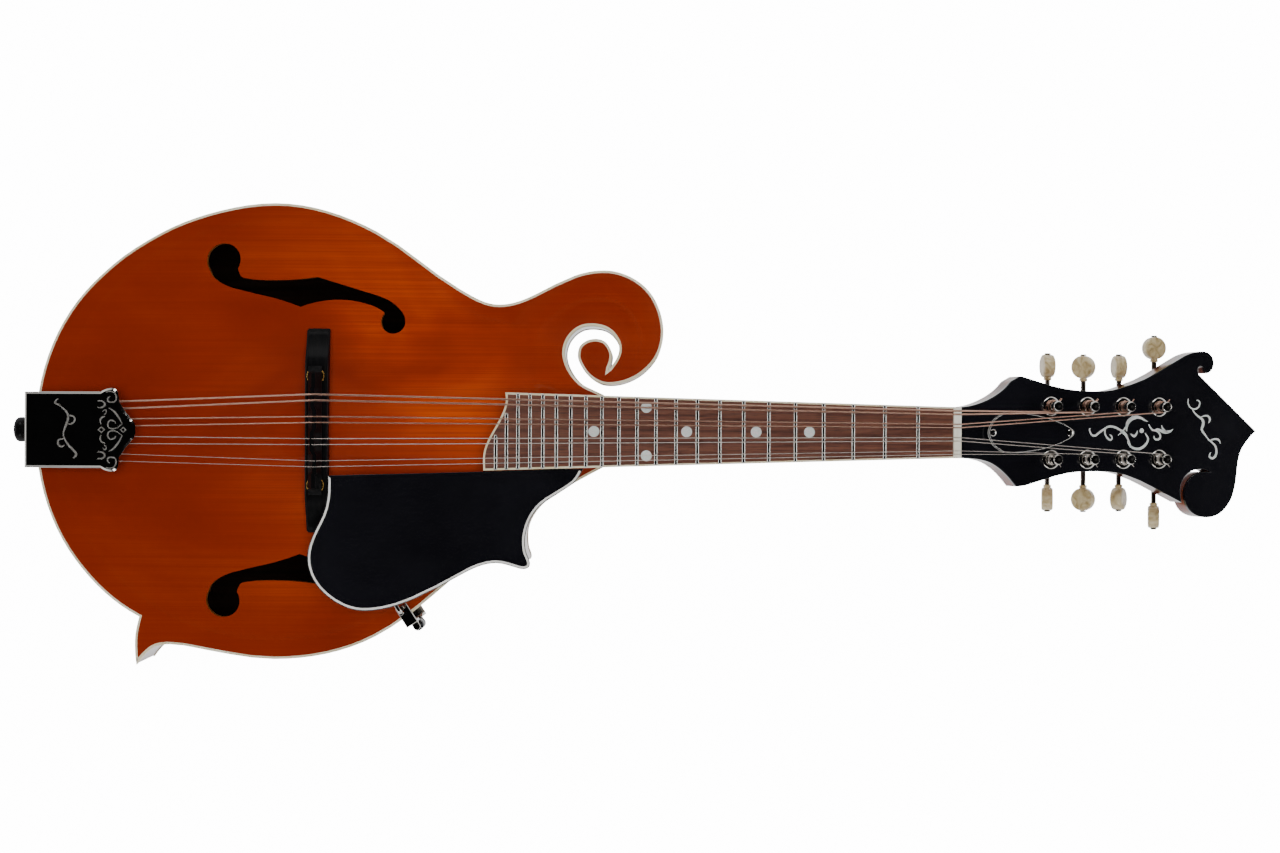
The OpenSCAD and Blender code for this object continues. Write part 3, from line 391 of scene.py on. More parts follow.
class Mat:
    """A Principled material with helpers for its procedural inputs."""

    def __init__(self, name, color, rough=0.4, metal=0.0, coat=0.0, coat_rough=0.03):
        self.m = bpy.data.materials.new(name)
        self.m.use_nodes = True
        self.t = self.m.node_tree
        self.b = self.t.nodes["Principled BSDF"]
        for k, v in (("Base Color", lin(color)), ("Roughness", rough), ("Metallic", metal),
                     ("Coat Weight", coat), ("Coat Roughness", coat_rough), ("IOR", 1.5)):
            self.b.inputs[k].default_value = v
        self.co = None

    def node(self, kind, **sockets):
        n = self.t.nodes.new("ShaderNode" + kind)
        for k, v in sockets.items():
            k = k.replace("_", " ")
            if isinstance(v, bpy.types.NodeSocket):
                self.t.links.new(v, n.inputs[k])
            else:
                n.inputs[k].default_value = v
        return n

    def coords(self, scale, offset=(0, 0, 0)):
        if self.co is None:
            self.co = self.t.nodes.new("ShaderNodeTexCoord").outputs["Object"]
        return self.node("Mapping", Vector=self.co, Scale=scale, Location=offset).outputs["Vector"]

    def noise(self, scale, size=1.0, detail=4.0, rough=0.55, distort=0.0, offset=(0, 0, 0)):
        return self.node("TexNoise", Vector=self.coords(scale, offset), Scale=size, Detail=detail,
                         Roughness=rough, Distortion=distort).outputs["Fac"]

    def ramp(self, fac, stops):
        n = self.t.nodes.new("ShaderNodeValToRGB")
        self.t.links.new(fac, n.inputs["Fac"])
        e = n.color_ramp.elements
        while len(e) < len(stops):
            e.new(0.5)
        for el, (p, c) in zip(e, stops):
            el.position, el.color = p, (lin(c) if isinstance(c, (list, tuple)) else (c, c, c, 1))
        return n.outputs["Color"]

    def mix(self, fac, a, b):
        n = self.t.nodes.new("ShaderNodeMix")
        n.data_type = "RGBA"
        for k, v in ((0, fac), (6, a), (7, b)):
            if isinstance(v, bpy.types.NodeSocket):
                self.t.links.new(v, n.inputs[k])
            else:
                n.inputs[k].default_value = v if k == 0 else lin(v)
        return n.outputs[2]

    def color(self, out):
        self.t.links.new(out, self.b.inputs["Base Color"])
        return self

    def rough(self, fac, lo, hi):
        n = self.node("MapRange", Value=fac, To_Min=lo, To_Max=hi)
        self.t.links.new(n.outputs["Result"], self.b.inputs["Roughness"])
        return self

    def bump(self, fac, depth):
        n = self.node("Bump", Height=fac, Distance=depth, Strength=1.0)
        self.t.links.new(n.outputs["Normal"], self.b.inputs["Normal"])
        return self

    def shine(self, level):
        self.b.inputs["Specular IOR Level"].default_value = level
        return self


def mottled(name, color, rough, scale, detail, stops, grain=0.55, distort=0.0, **kw):
    """A material whose colour wanders between the stops on noise of the given scale per metre."""
    m = Mat(name, color, rough, **kw)
    return m.color(m.ramp(m.noise(scale, 1, detail, grain, distort), stops))


def lacquered(name, dark, mid, light, grain, curl=None, patch=(9, 9, 9), burst_and_painted_shade=None):
    """Stained wood under gloss: fine grain, broad patches and, on maple, curl."""
    m = Mat(name, mid, 0.32, coat=1.0).shine(0.08)
    fine = m.noise(grain, 1, 6, 0.65)
    broad = m.noise(patch, 1, 3, 0.5, 0.6, (3, 1, 2))
    col = m.ramp(broad, [(0.3, dark), (0.5, mid), (0.72, light)])
    col = m.mix(m.ramp(fine, [(0.35, 0.0), (0.62, 0.55)]), col, dark)
    if curl:
        wave = m.noise(curl, 1, 2, 0.4, 0.5, (5, 2, 7))
        col = m.mix(m.ramp(wave, [(0.4, 0.0), (0.62, 0.75)]), col, light)
    # burst_and_painted_shade: the colour darkens away from a centre, partly a sunburst stain and partly
    # painted shade
    if burst_and_painted_shade:
        x, y, r = burst_and_painted_shade
        near = m.node("TexGradient", Vector=m.coords((1 / r, 1 / r, 0), (-x / r, -y / r, 0)))
        near.gradient_type = "SPHERICAL"
        col = m.mix(m.ramp(near.outputs["Fac"], [(0.0, 0.85), (0.3, 0.6), (0.8, 0.0)]), col, dark)
    m.color(col)
    return m


# the top darkens towards its edges: sunburst stain and painted shade together
m_top = lacquered("top_lacquer", (124, 31, 3), (168, 52, 4), (220, 84, 6), (7, 900, 7),
                  patch=(8, 12, 8), burst_and_painted_shade=((212 - MX) / 1000, 0.012, 0.15))
m_rim = lacquered("rim_lacquer", (80, 22, 6), (112, 36, 8), (150, 58, 14), (60, 60, 700), (260, 260, 5))
m_back = lacquered("back_lacquer", (86, 24, 5), (118, 38, 7), (152, 60, 13), (12, 800, 10), (210, 14, 6))
m_neck = lacquered("neck_lacquer", (70, 20, 6), (98, 32, 9), (132, 52, 16), (14, 600, 600), (230, 12, 12))
m_bare = mottled("bare_maple", (196, 158, 108), 0.7, (8, 600, 60), 5,
                 [(0.3, (168, 128, 82)), (0.7, (214, 178, 126))])
m_spruce = mottled("bare_spruce", (206, 170, 118), 0.75, (6, 900, 6), 4,
                   [(0.35, (176, 136, 86)), (0.65, (220, 188, 138))])
# painted shade: the inside of the body is bare wood, coloured near black here as it looks through the sound
# holes
m_inside_painted_shade = mottled("inside_painted_shade", (24, 13, 8), 0.8, (8, 500, 60), 5,
                   [(0.3, (15, 8, 5)), (0.7, (36, 20, 12))])
m_edge = mottled("sound_hole_edge", (172, 96, 40), 0.35, (400, 400, 900), 3,
                 [(0.3, (120, 52, 14)), (0.7, (196, 128, 66))], coat=0.8)
m_bind = mottled("cream_binding", (232, 220, 186), 0.3, (60, 60, 60), 4,
                 [(0.3, (221, 205, 162)), (0.7, (240, 231, 204))], coat=0.6, coat_rough=0.06)
m_white = mottled("white_binding", (236, 234, 228), 0.25, (90, 90, 90), 3,
                  [(0.3, (226, 223, 214)), (0.7, (244, 243, 240))], coat=0.6)
m_black = mottled("black_gloss", (13, 13, 17), 0.16, (25, 25, 25), 4,
                  [(0.3, (10, 10, 14)), (0.7, (17, 17, 22))], coat=1.0, coat_rough=0.02)
m_black.rough(m_black.noise((300, 300, 300), 1, 5), 0.12, 0.24)
m_ebony = mottled("ebony", (16, 15, 16), 0.5, (500, 30, 200), 6,
                  [(0.35, (6, 6, 7)), (0.55, (10, 10, 11)), (0.75, (18, 17, 17))], 0.7,
                  coat=0.04, coat_rough=0.2).shine(0.06)
m_ebony.bump(m_ebony.noise((900, 60, 400), 1, 5), 0.00004)
m_rose = Mat("rosewood", (84, 48, 36), 0.42, coat=0.15, coat_rough=0.25)
streaks = m_rose.ramp(m_rose.noise((11, 420, 60), 1, 6, 0.7, 0.4),
                      [(0.28, (50, 26, 20)), (0.45, (88, 48, 34)), (0.58, (112, 66, 46)),
                       (0.75, (74, 40, 30))])
pores = m_rose.noise((90, 2600, 300), 1, 3, 0.6)
m_rose.color(m_rose.mix(m_rose.ramp(pores, [(0.56, 0.0), (0.66, 0.8)]), streaks, (38, 20, 16)))
m_rose.bump(pores, 0.00005)
m_nickel = mottled("polished_nickel", (206, 203, 197), 0.09, (30, 30, 30), 3,
                   [(0.3, (192, 188, 180)), (0.7, (214, 212, 208))], metal=1.0)
m_nickel.rough(m_nickel.noise((160, 900, 400), 1, 5, 0.6), 0.05, 0.15)
m_engrave = mottled("engraved_nickel", (214, 211, 204), 0.42, (900, 900, 900), 3,
                    [(0.3, (176, 172, 164)), (0.7, (226, 224, 218))], metal=0.85)
m_steel = mottled("dark_steel", (96, 92, 88), 0.32, (120, 120, 120), 4,
                  [(0.3, (72, 66, 60)), (0.7, (124, 119, 112))], metal=1.0)
m_steel.rough(m_steel.noise((700, 700, 700), 1, 4), 0.25, 0.42)
# painted shadow for screw slots and the holes in the posts
m_slot_shadow = mottled("slot_shadow", (24, 22, 20), 0.6, (800, 800, 800), 2,
                 [(0.3, (14, 13, 12)), (0.7, (34, 31, 28))], metal=0.6)
m_brass = mottled("brass", (206, 168, 92), 0.22, (80, 80, 80), 4,
                  [(0.3, (180, 138, 66)), (0.7, (218, 184, 110))], metal=1.0)
m_brass.rough(m_brass.noise((500, 500, 500), 1, 4), 0.16, 0.34)
m_plain = Mat("plain_string", (216, 206, 198), 0.42, metal=0.8)
m_plain.rough(m_plain.noise((40, 2000, 2000), 1, 3), 0.35, 0.5)
m_wound = Mat("wound_string", (206, 168, 150), 0.28, metal=1.0)
winding = m_wound.node("TexWave", Vector=m_wound.coords((1, 1, 1)), Scale=900.0, Distortion=0.0)
winding = winding.outputs["Fac"]
m_wound.color(m_wound.mix(winding, (168, 118, 96), (226, 190, 172)))
m_wound.bump(winding, 0.00006)
m_fret = Mat("fret_wire", (206, 205, 200), 0.18, metal=1.0)
m_fret.rough(m_fret.noise((900, 60, 900), 1, 4), 0.12, 0.28)
m_bone = mottled("bone", (236, 230, 214), 0.35, (400, 60, 400), 4,
                 [(0.3, (224, 215, 193)), (0.7, (242, 238, 226))], coat=0.3)
m_pearl = mottled("pearl", (214, 220, 218), 0.22, (260, 420, 300), 5,
                  [(0.3, (172, 178, 178)), (0.42, (222, 228, 226)), (0.52, (196, 208, 200)),
                   (0.6, (232, 222, 222)), (0.72, (186, 190, 198))], 0.6, 2.2, coat=0.9)
m_ivory = mottled("marbled_ivory", (203, 189, 150), 0.28, (150, 110, 130), 6,
                  [(0.3, (142, 120, 80)), (0.45, (180, 159, 116)), (0.58, (200, 183, 141)),
                   (0.72, (214, 203, 168))], 0.6, 1.8, coat=0.8, coat_rough=0.05)
m_barrel = Mat("blackened_metal", (22, 24, 30), 0.25, metal=0.7)
m_barrel.rough(m_barrel.noise((600, 600, 600), 1, 4), 0.2, 0.36)
m_endpin = mottled("black_wood", (8, 8, 9), 0.4, (90, 500, 500), 4,
                   [(0.3, (3, 3, 4)), (0.7, (9, 8, 9))], coat=0.12, coat_rough=0.2).shine(0.1)


def paint(node, mat):
    """Gives a CAD solid that is shown as it is its material."""
    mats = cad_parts[node].data.materials
    mats.clear()
    mats.append(mat.m)


for node, mat in (("linings", m_spruce), ("neck_block", m_bare), ("rim_blocks", m_spruce),
                  ("tone_bars", m_spruce), ("truss_rod", m_steel), ("pickguard_block", m_black)):
    paint(node, mat)

# ---------------------------------------------------------------- outlines
BODY_K = [[0, 0, -90], [22.8, -73, -53], [57.9, -103.9, -27, -104], [55.6, -117, -91],
          [56.5, -130.7, -80, 56], [64.4, -122, 38], [75, -119.3, 0], [97.2, -122.7, -10],
          [133, -127.3, 0], [189.4, -114.5, 27.5], [222.8, -90.2, 41], [256, -71, 2],
          [271, -73.6, -16], [273.6, -73.4, 60], [272.4, -66.5, 100], [272, -58, 85],
          [281.2, -41.4, 43], [290.4, -35, 33], [300, -28.6, 31], [316, -19.9, 28, 90],
          [316, 20.3, 90, 155], [306.1, 24.9, 152], [297.6, 33.2, 121], [294.2, 44, 88],
          [302.5, 57.2, 28], [308.9, 58.5, 0], [320.2, 54.6, -46], [324.3, 46, -90],
          [318.1, 33.8, -127, 66], [320.5, 42, 88], [318.1, 48.3, 124], [311.1, 51.5, 180],
          [303.2, 48.3, 226], [301.3, 42.5, 268], [304.6, 34.1, 302], [313.1, 27, 336],
          [318.9, 25.9, 359], [332.2, 29.1, 26], [343.6, 38.5, 52], [349, 56.5, 92],
          [345, 71.8, 116], [332.2, 85.2, 151], [316, 89.6, 180], [299.4, 86.6, 200],
          [278.9, 76.8, 207], [257.5, 70.4, 180], [236, 78.8, 150], [189.4, 110.8, 152],
          [133, 126.4, 180], [102.8, 122.2, 194], [69, 109.4, 209], [42.8, 92, 221],
          [22.8, 71.4, 233]]
outline = loop(BODY_K, 3.5)
ARCH_H = [[9, 0, -90], [36, -70, -52], [80, -105, -24], [133, -116, 0], [192, -102, 28],
          [226, -78, 38], [257, -61, 8], [290, -50, 38], [311, 0, 90]]
ARCH_X = 150
SCROLL_X, SCROLL_Y = 262, 18
rim_of_arch = np.vstack([way(ARCH_H, 3), way(flip(ARCH_H), 3)[1:-1]]) - (ARCH_X, 0)
bearing = np.arctan2(rim_of_arch[:, 1], rim_of_arch[:, 0])
order = np.argsort(bearing)
bearing = np.concatenate([bearing[order] + 2 * math.pi * k for k in (-1, 0, 1)])
reach = np.tile(np.hypot(rim_of_arch[:, 0], rim_of_arch[:, 1])[order], 3)


def swell(q):
    """Height of the carved arch over the points q, from 0 at its rim to 1 in its middle."""
    q = np.asarray(q, float)[:, :2] - (ARCH_X, 0)
    s = np.hypot(q[:, 0], q[:, 1]) / np.interp(np.arctan2(q[:, 1], q[:, 0]), bearing, reach)
    return np.maximum(1 - np.minimum(s, 1) ** 2.5, 0) ** 1.5


def in_scroll(q):
    """Which of the points q lie in the corner of the plate that holds the scroll."""
    return (q[:, 0] > SCROLL_X) & (q[:, 1] > SCROLL_Y)


def crown(q):
    """The carved swell of the scroll, a ridge along the middle of its band."""
    q = np.asarray(q, float)[:, :2]
    out, near = np.zeros(len(q)), in_scroll(q)
    if near.any():
        p = q[near]
        fade = np.clip((p[:, 0] - 264) / 34, 0, 1) * np.clip((p[:, 1] - 20) / 8, 0, 1)
        fade = fade * fade * (3 - 2 * fade)
        own = np.maximum(edge_distance(p, [outline]) - 1.6, 0)
        total, weight = np.zeros(len(p)), 0
        for r, w in ((0, 1), (1.3, 0.8), (2.6, 0.4)):
            for a in np.arange(0, 360, 45) if r else (0,):
                d = np.minimum(np.maximum(edge_distance(p + r * unit(a), [outline]) - 1.6, 0), 17)
                total += w * (d / 17) ** 1.8
                weight += w
        out[near] = 4.0 * total / weight * fade * np.clip(own / 2, 0, 1)
    return out


HOLE_K = [[97, 88.2, -60], [110.8, 78.6, -18], [134.8, 72.8, -16], [148.8, 68.1, -22, 22],
          [170.4, 72.2, 0], [187, 69.4, -18], [194.4, 65.4, -40]]
HOLE_K2 = [[206.1, 60.4, 90], [200.5, 69.6, 138], [183.6, 76.9, 163], [157.6, 84.9, 164, 190],
           [134.8, 83, 180], [116.8, 84.2, 168], [113.2, 89.0, 118]]


def sound_hole():
    """One outline: stem, small eye, stem, big eye."""
    small = [np.array([199.5, 60.2]) + 6.6 * unit(a) for a in np.arange(140, 359, 9)]
    big = [np.array([105.1, 94.3]) + 9.4 * unit(a) for a in np.arange(-30, 216, 8)]
    return np.vstack([way(HOLE_K, 4)[2:], small, way(HOLE_K2, 4)[2:-1], big])


hole = sound_hole()

# ---------------------------------------------------------------- body
top_edge = inset(outline, 1.5)
top_fn = lambda q: TOP_ARCH * swell(q) + crown(q)
gx, gy = np.meshgrid(np.arange(SCROLL_X, 350, 1.2), np.arange(SCROLL_Y, 92, 1.05))
fine = np.column_stack([(gx + (np.arange(gx.shape[0]) % 2 * 0.6)[:, None]).ravel(), gy.ravel()])
fine = fine[inside(fine, [top_edge])]
fine = fine[edge_distance(fine, [top_edge]) > 0.8]
m = Mesh().add(*slab([top_edge, hole[::-1], hole * (1, -1)], -PLATE_T, 0, 0.0, top=top_fn,
                     bottom=lambda q: TOP_ARCH * swell(q), grid=2.6, wall=1, more=(in_scroll, fine)))
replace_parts(m.make("top_plate_carved", [m_top, m_edge], sharp=38, slot="amber_top"), "top_plate")

m = Mesh()
for z, up in ((0, 1), (-DEPTH, -1)):
    m.add(*around(outline, [(0, z - up * PLATE_T), (0, z - up * 0.6), (0.18, z - up * 0.18), (0.6, z),
                            (1.5, z), (1.5, z - up * PLATE_T)]))
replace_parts(m.make("edge_binding", m_bind, slot="binding"), "body_binding")

rib = inset(outline, 0.3)
m = Mesh().add(*around(rib, [(0, -41.52), (0, -4.52), (2.3, -4.52), (2.3, -41.52)]))
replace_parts(m.make("bent_ribs", m_rim, slot="maple"), "rim")

back_fn = lambda q: -BACK_ARCH * swell(q)
# the inner face of the back takes the near-black painted shade
m = Mesh().add(*slab([top_edge], -DEPTH, PLATE_T - DEPTH, 0.0, top=back_fn, bottom=back_fn, grid=3.2,
                     ends=(0, 1)))
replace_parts(m.make("back_plate_carved", [m_back, m_inside_painted_shade], sharp=38, slot="maple"), "back_plate")

m = Mesh()
m.add(*lathe([(0, -20), (3.6, -20), (3.9, -1), (3.9, 1.95), (6.2, 1.95), (6.3, 2.6), (6.0, 3.4),
              (4.9, 4.2), (4.3, 5.4), (4.0, 7.4), (4.3, 9.4), (5.2, 11.1), (6.6, 12.5), (7.05, 13.3),
              (7.1, 14.6), (6.9, 15.9), (6.2, 16.9), (4.9, 17.6), (3.0, 18.05), (1.2, 18.2), (0, 18.2)], 56),
      turn("Y", -90, 0, 0, -23))
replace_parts(m.make("end_button", m_endpin, slot="ebony"), "end_pin")

# ---------------------------------------------------------------- neck and head
board_u = lambda x: (x - NUT_X) / math.cos(NECK)
half_at = lambda u: HALF_NUT - 7.1 * u / 254
heel = board_u(NECK_END)
# stations along the neck: place, height of its face, width (0: the fingerboard's), depth
ST = np.array([[27, -11.3, 18, 10.2], [22, -9.9, 25.4, 10.9], [13, -7.8, 28, 12.7], [4.4, -5.6, 28.6, 14.6],
               [-10, -5.6, 0, 14.2], [-120, -5.6, 0, 15.6], [-150, -5.6, 0, 16.6], [-163, -5.6, 0, 18.6],
               [-172, -5.6, 0, 21.6], [-179, -5.6, 0, 26], [-185, -5.6, 0, 32], [-189, -5.6, 0, 38.5],
               [-192.5, -5.6, 0, 46.5], [heel, -5.6, 0, 55.2]])
for r in ST:
    r[2] = r[2] or 2 * half_at(r[0]) - 0.1
rows = []
for a, b in zip(ST[:-1], ST[1:]):
    k = max(1, int(abs(b[0] - a[0]) / 4))
    rows += [a + (b - a) * t / k for t in range(k)]
rows.append(ST[-1])
st = np.array(rows)
for _ in range(3):
    st[1:-1, 3] = (st[:-2, 3] + 2 * st[1:-1, 3] + st[2:, 3]) / 4
ang = np.radians(np.arange(0, 181, 6))
rows = [np.column_stack([np.full(len(ang), u), wide / 2 * np.cos(ang), face - deep * np.sin(ang) ** 0.85])
        for u, face, wide, deep in st]
m = Mesh().add(*caps(*strip(rows), len(ang)))
# the flat face seen in the pocket of the truss rod nut is black: painted shade at the bottom of the recess
for j, face in enumerate(m.f):
    if len(face) == 4 and min(m.v[a][0] for a in face) > 4 and face[1] % len(ang) == 0:
        m.i[j] = 1
neck = m.make("neck_carved", [m_neck, m_black], BOARD, sharp=40, slot="maple")

HEAD_K = [[0, -14.3, -1], [11.2, -14.8, -10], [19.5, -16.9, -24], [26.5, -21.2, -38], [31.3, -25.6, -45],
          [35.4, -30.3, -44, 5], [41, -29.8, 13], [60, -24.5, 15], [82.7, -21.9, 0], [105.7, -24.1, -17],
          [123.1, -31.1, -26], [141.9, -40.1, -22, 104], [141.1, -30.8, 80], [144.3, -24.6, 45],
          [153.6, -20.8, 4], [161.9, -23, -36, 158], [156.4, -22.5, 184], [150.6, -23.8, 208],
          [145.7, -28.2, 240], [143.5, -35, 272], [145.9, -42.9, -57], [158.8, -48.9, 0], [170.6, -44, 45],
          [175.9, -36, 70], [178.6, -23.1, 84], [180.9, -11.1, 68], [187.9, -1.6, 47],
          [191.3, 1.2, 40, 139.3], [152.8, 34.2, 139.3, 110], [152.3, 37.2, 80], [154.2, 38.9, 0],
          [156.2, 37.4, -80], [157.2, 35.1, -50], [159.2, 35, 20], [162.9, 41.1, 92], [156.2, 47.5, 178],
          [143.6, 44.7, 204], [124.6, 34.4, 209], [101.4, 25.6, 197], [82.7, 23.8, 180], [57.2, 26.8, 167],
          [40.6, 31.4, 167], [36.2, 31.3, 215], [31, 28, 232], [20.9, 20.1, 209], [9.9, 15.7, 196],
          [0, 14.3, 181]]
head = way(HEAD_K, 5)
head[:, 0] = np.maximum(head[:, 0], 0.6)
pocket = np.array([[0.6, 4], [20.8, 4], [20.8, -4], [0.6, -4]])
pocketed = np.vstack([head, pocket])
m = Mesh()
# the top of the lower layer, the floor of the pocket, is black: painted shade in the recess
m.add(*slab([head], -13, -10.8, 0.0, foot=0.8, ends=(0, 1)))
m.add(*slab([pocketed], -10.8, -2.02, 0.0, ends=(0, 1)))
core = m.make("head_core", [m_neck, m_black], FACE, sharp=40, slot="maple")
for ob in (neck, core):
    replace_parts(ob, "neck")

posts = [(POST_L + PITCH * (k % 4), POST_Y if k < 4 else -POST_Y) for k in range(8)]
m = Mesh().add(*slab([pocketed] + [circle(x, y, 4.4, 32)[::-1] for x, y in posts], -2.02, 0, 0.25))
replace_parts(m.make("head_face", m_black, FACE, sharp=40, slot="black_plastic"), "head_veneer")

# raised block that carries the end of the fingerboard over the body
under_board = lambda x: NUT_Z - (x - NUT_X) * math.tan(NECK) - 5.66 / math.cos(NECK)
half, rows = 19.4, []
for x in np.linspace(287, 316.9, 12):
    low, high = TOP_ARCH * float(swell([[x, 0]])[0]) + 0.03, under_board(x)
    rows.append([(x, -half, low), (x, half, low), (x, half, high), (x, -half, high)])
m = Mesh().add(*caps(*strip(rows), 4))
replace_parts(m.make("neck_riser", m_neck, sharp=20, slot="maple"), "neck")

m = Mesh()
rod_end = turn("Y", 90, 7.2, 0, -11.8)
m.add(*lathe([(0, 0), (2.8, 0), (3.1, 0.3), (3.1, 2.1), (2.8, 2.4), (0, 2.4)], 32), rod_end)
m.add(*lathe([(0, 1.6), (1.6, 1.6), (1.6, 5.8), (2.9, 5.8), (3.35, 5.4), (3.35, 1)], 6), rod_end)
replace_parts(m.make("rod_nut_brass", m_brass, BOARD, body="rod_nut", sharp=25, slot="brass"), "truss_rod_nut")

COVER_H = [[17.3, 0, -90], [19.6, -6, -62], [25.4, -10.5, -35], [33, -11.5, 0], [48.6, -10, 10],
           [60.2, -6.9, 20], [67.5, -3.9, 30], [71.3, 0, 90]]
bell = loop(COVER_H + flip(COVER_H)[1:-1], 4)
m = Mesh().add(*slab([bell], 0.02, 1.6, 0.35))
m.add(*around(bell, [(-0.02, 0.5), (-0.02, 1.15), (0.3, 1.57), (0.62, 1.63), (0.7, 1.5), (0.6, 0.5)]), 1)
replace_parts(m.make("rod_cover", [m_black, m_white], FACE, sharp=40, slot="black_plastic"), "truss_rod_cover")

# strokes: keys, width at the start, in the middle and at the end
VINE = [[[[82.4, 2.4, 150], [82.4, -0.2, -60], [86, -1.2, 30], [93, 3.4, 20], [101, 2, -30]], 0.5, 1, 1.2],
        [[[92.4, 3.2, -130], [92.6, -2.2, -50], [96, -3.4, 60], [94.6, -0.9, 160]], 0.9, 1, 0.6],
        [[[101, 2, -30], [106, -2.6, -70], [108.8, -8.2, -60]], 1.2, 2.2, 0.4],
        [[[100, -1.4, 50], [103.4, 1.4, 60], [107.6, 7.6, 70], [109.6, 10, 40]], 0.4, 1, 0.4],
        [[[105.6, 1, 100], [107, 6.8, 50], [113, 9.2, 0], [119.4, 6.6, -10]], 0.6, 3.1, 0.4],
        [[[106.2, -4.6, -80], [110, -8.6, -20], [115.6, -8.4, 30], [119.6, -3.6, 80], [117.6, 0, 120]],
         0.4, 2, 0.5],
        [[[108, -0.4, -20], [111, -1.6, 40], [112.6, 1.6, 90]], 0.3, 1.9, 0.3],
        [[[120, 5, -60], [123.4, 1.6, 0], [127.6, -1.6, -80], [124.6, -3.6, 160], [123.6, -1.6, 60]],
         0.8, 1.3, 0.6],
        [[[124.4, 2.2, 20], [130.6, 0.6, 0], [136, 2.4, 50]], 0.5, 2.4, 0.3],
        [[[128.4, 4.6, -80], [130.2, 1.6, -40], [133.4, 0.4, 0]], 0.3, 1.6, 0.3],
        [[[146, 20, -110], [150, 14, 0], [153.6, 17, 80], [151.4, 19, 200]], 0.5, 1.1, 0.5],
        [[[148.6, 13.8, -60], [154.6, 8.6, -30], [155.2, 3.4, -120], [158.4, -2.4, -60]], 0.6, 2.1, 0.8],
        [[[154.4, 9.4, 20], [159.6, 9.6, -40], [159.4, 6, -140]], 0.4, 1.6, 0.4],
        [[[158.4, -2.4, -60], [163.6, -6.8, -50], [164.4, -12.6, -110], [160.6, -14, 140], [161, -11.2, 50]],
         0.8, 1.7, 0.5],
        [[[159.8, -4.6, 30], [165.2, -3.4, -10], [167.4, -6, -80]], 0.4, 1.5, 0.3]]
m = Mesh()
for s in VINE:
    m.add(*slab([stroke(*s)], -0.3, 0.015, 0.0))
m.add(*slab([circle(115.4, 1.4, 1.4, 24)], -0.3, 0.015, 0.0))
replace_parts(m.make("head_inlay", m_pearl, FACE, slot="pearl"), "pearl_inlays")

# ---------------------------------------------------------------- nut and fingerboard
RAD = [0.51, 0.33, 0.19, 0.14]
srad = lambda i: RAD[i // 2]
across = lambda i, gap, half: (1.5 - i // 2) * gap + (half if i % 2 == 0 else -half)
tail_y = lambda i: across(i, 9.4, 2)
bridge_y = lambda i: across(i, 12, 1.6)
nut_y = lambda i: across(i, 7.4, 0.95)

top_line = []
for i in range(8):
    r, y, z = srad(i) + 0.04, nut_y(i), 1.28
    groove = [(y + r * math.cos(a), z - r * math.sin(a)) for a in np.linspace(0, math.pi, 7)]
    top_line += [(y + r, 1.9)] + groove + [(y - r, 1.9)]
prof = np.array([(-HALF_NUT, -5.6), (HALF_NUT, -5.6), (HALF_NUT, 1.4), (13.8, 1.9)] + top_line
                + [(-13.8, 1.9), (-HALF_NUT, 1.4)])
CYC = Matrix(((0, 0, 1, 0), (1, 0, 0, 0), (0, 1, 0, 0), (0, 0, 0, 1)))
m = Mesh().add(*slab([prof], 0.03, 4.33, 0.0), CYC)
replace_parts(m.make("nut_bone", m_bone, BOARD, slot="bone"), "nut")

BOARD_K = [[0, -14.3, 1.6, 90], [0, 14.3, 90, 178.4], [-248.4, half_at(-248.4), 178.4, -80],
           [-248.3, 14.6, -103], [-254.5, 1.1, -119], [-260.4, -14.6, -92],
           [-260.2, -half_at(-260.2), -88, 1.6]]
board = loop(BOARD_K, 3)
wood = inset(board, 1.1)
wood[np.abs(wood[:, 0] + 1.1) < 0.3, 0] = 0
m = Mesh().add(*slab([wood], -5.6, 0, 0.0))
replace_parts(m.make("fingerboard_wood", m_rose, BOARD, slot="rosewood"), "fingerboard")
rows = []
for o, z in ((0, -5.6), (0, -0.3), (0.09, -0.09), (0.3, 0), (1.1, 0.0), (1.1, -5.6)):
    r = np.roll(inset(board, o), -1, 0)
    r[[0, -1], 0] = 0
    rows.append(np.column_stack([r, np.full(len(r), z)]))
v, f = strip(rows, True)
n = len(board)
f = [q for k, q in enumerate(f) if k % n != n - 1]
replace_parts(piece("fingerboard_edge", v, f, m_bind, BOARD), "fingerboard_binding")

fret_u = lambda n: -SCALE * (1 - 2 ** (-n / 12))
dot_u = lambda n: (fret_u(n) + fret_u(n - 1)) / 2
m = Mesh()
arc = np.radians(np.arange(0, 181, 15))
for n in range(1, 23):
    u, half = fret_u(n), half_at(fret_u(n)) - 0.2
    high = 10 if n == 21 else -2 if n == 22 else half
    rows = [[(u + 1.05 * s * math.cos(a), y, 0.02 + 1.0 * h * math.sin(a)) for a in arc]
            for y, s, h in ((-half, 0.8, 0.3), (-half + 0.5, 1, 0.9), (-half + 0.9, 1, 1),
                            (high - 0.9, 1, 1), (high - 0.5, 1, 0.9), (high, 0.8, 0.3))]
    m.add(*caps(*strip(rows), len(arc)))
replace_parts(m.make("fret_wires", m_fret, BOARD, slot="fret_wire"), "frets")
m = Mesh()
for n, y in ((5, 0), (7, 0), (10, 0), (12, -12.6), (12, 12.6), (15, 0)):
    m.add(*slab([circle(dot_u(n), y * half_at(dot_u(12)) / 18.1, 3, 36)], -0.4, 0.015, 0.0))
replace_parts(m.make("fingerboard_dots", m_pearl, BOARD, slot="pearl"), "pearl_inlays")

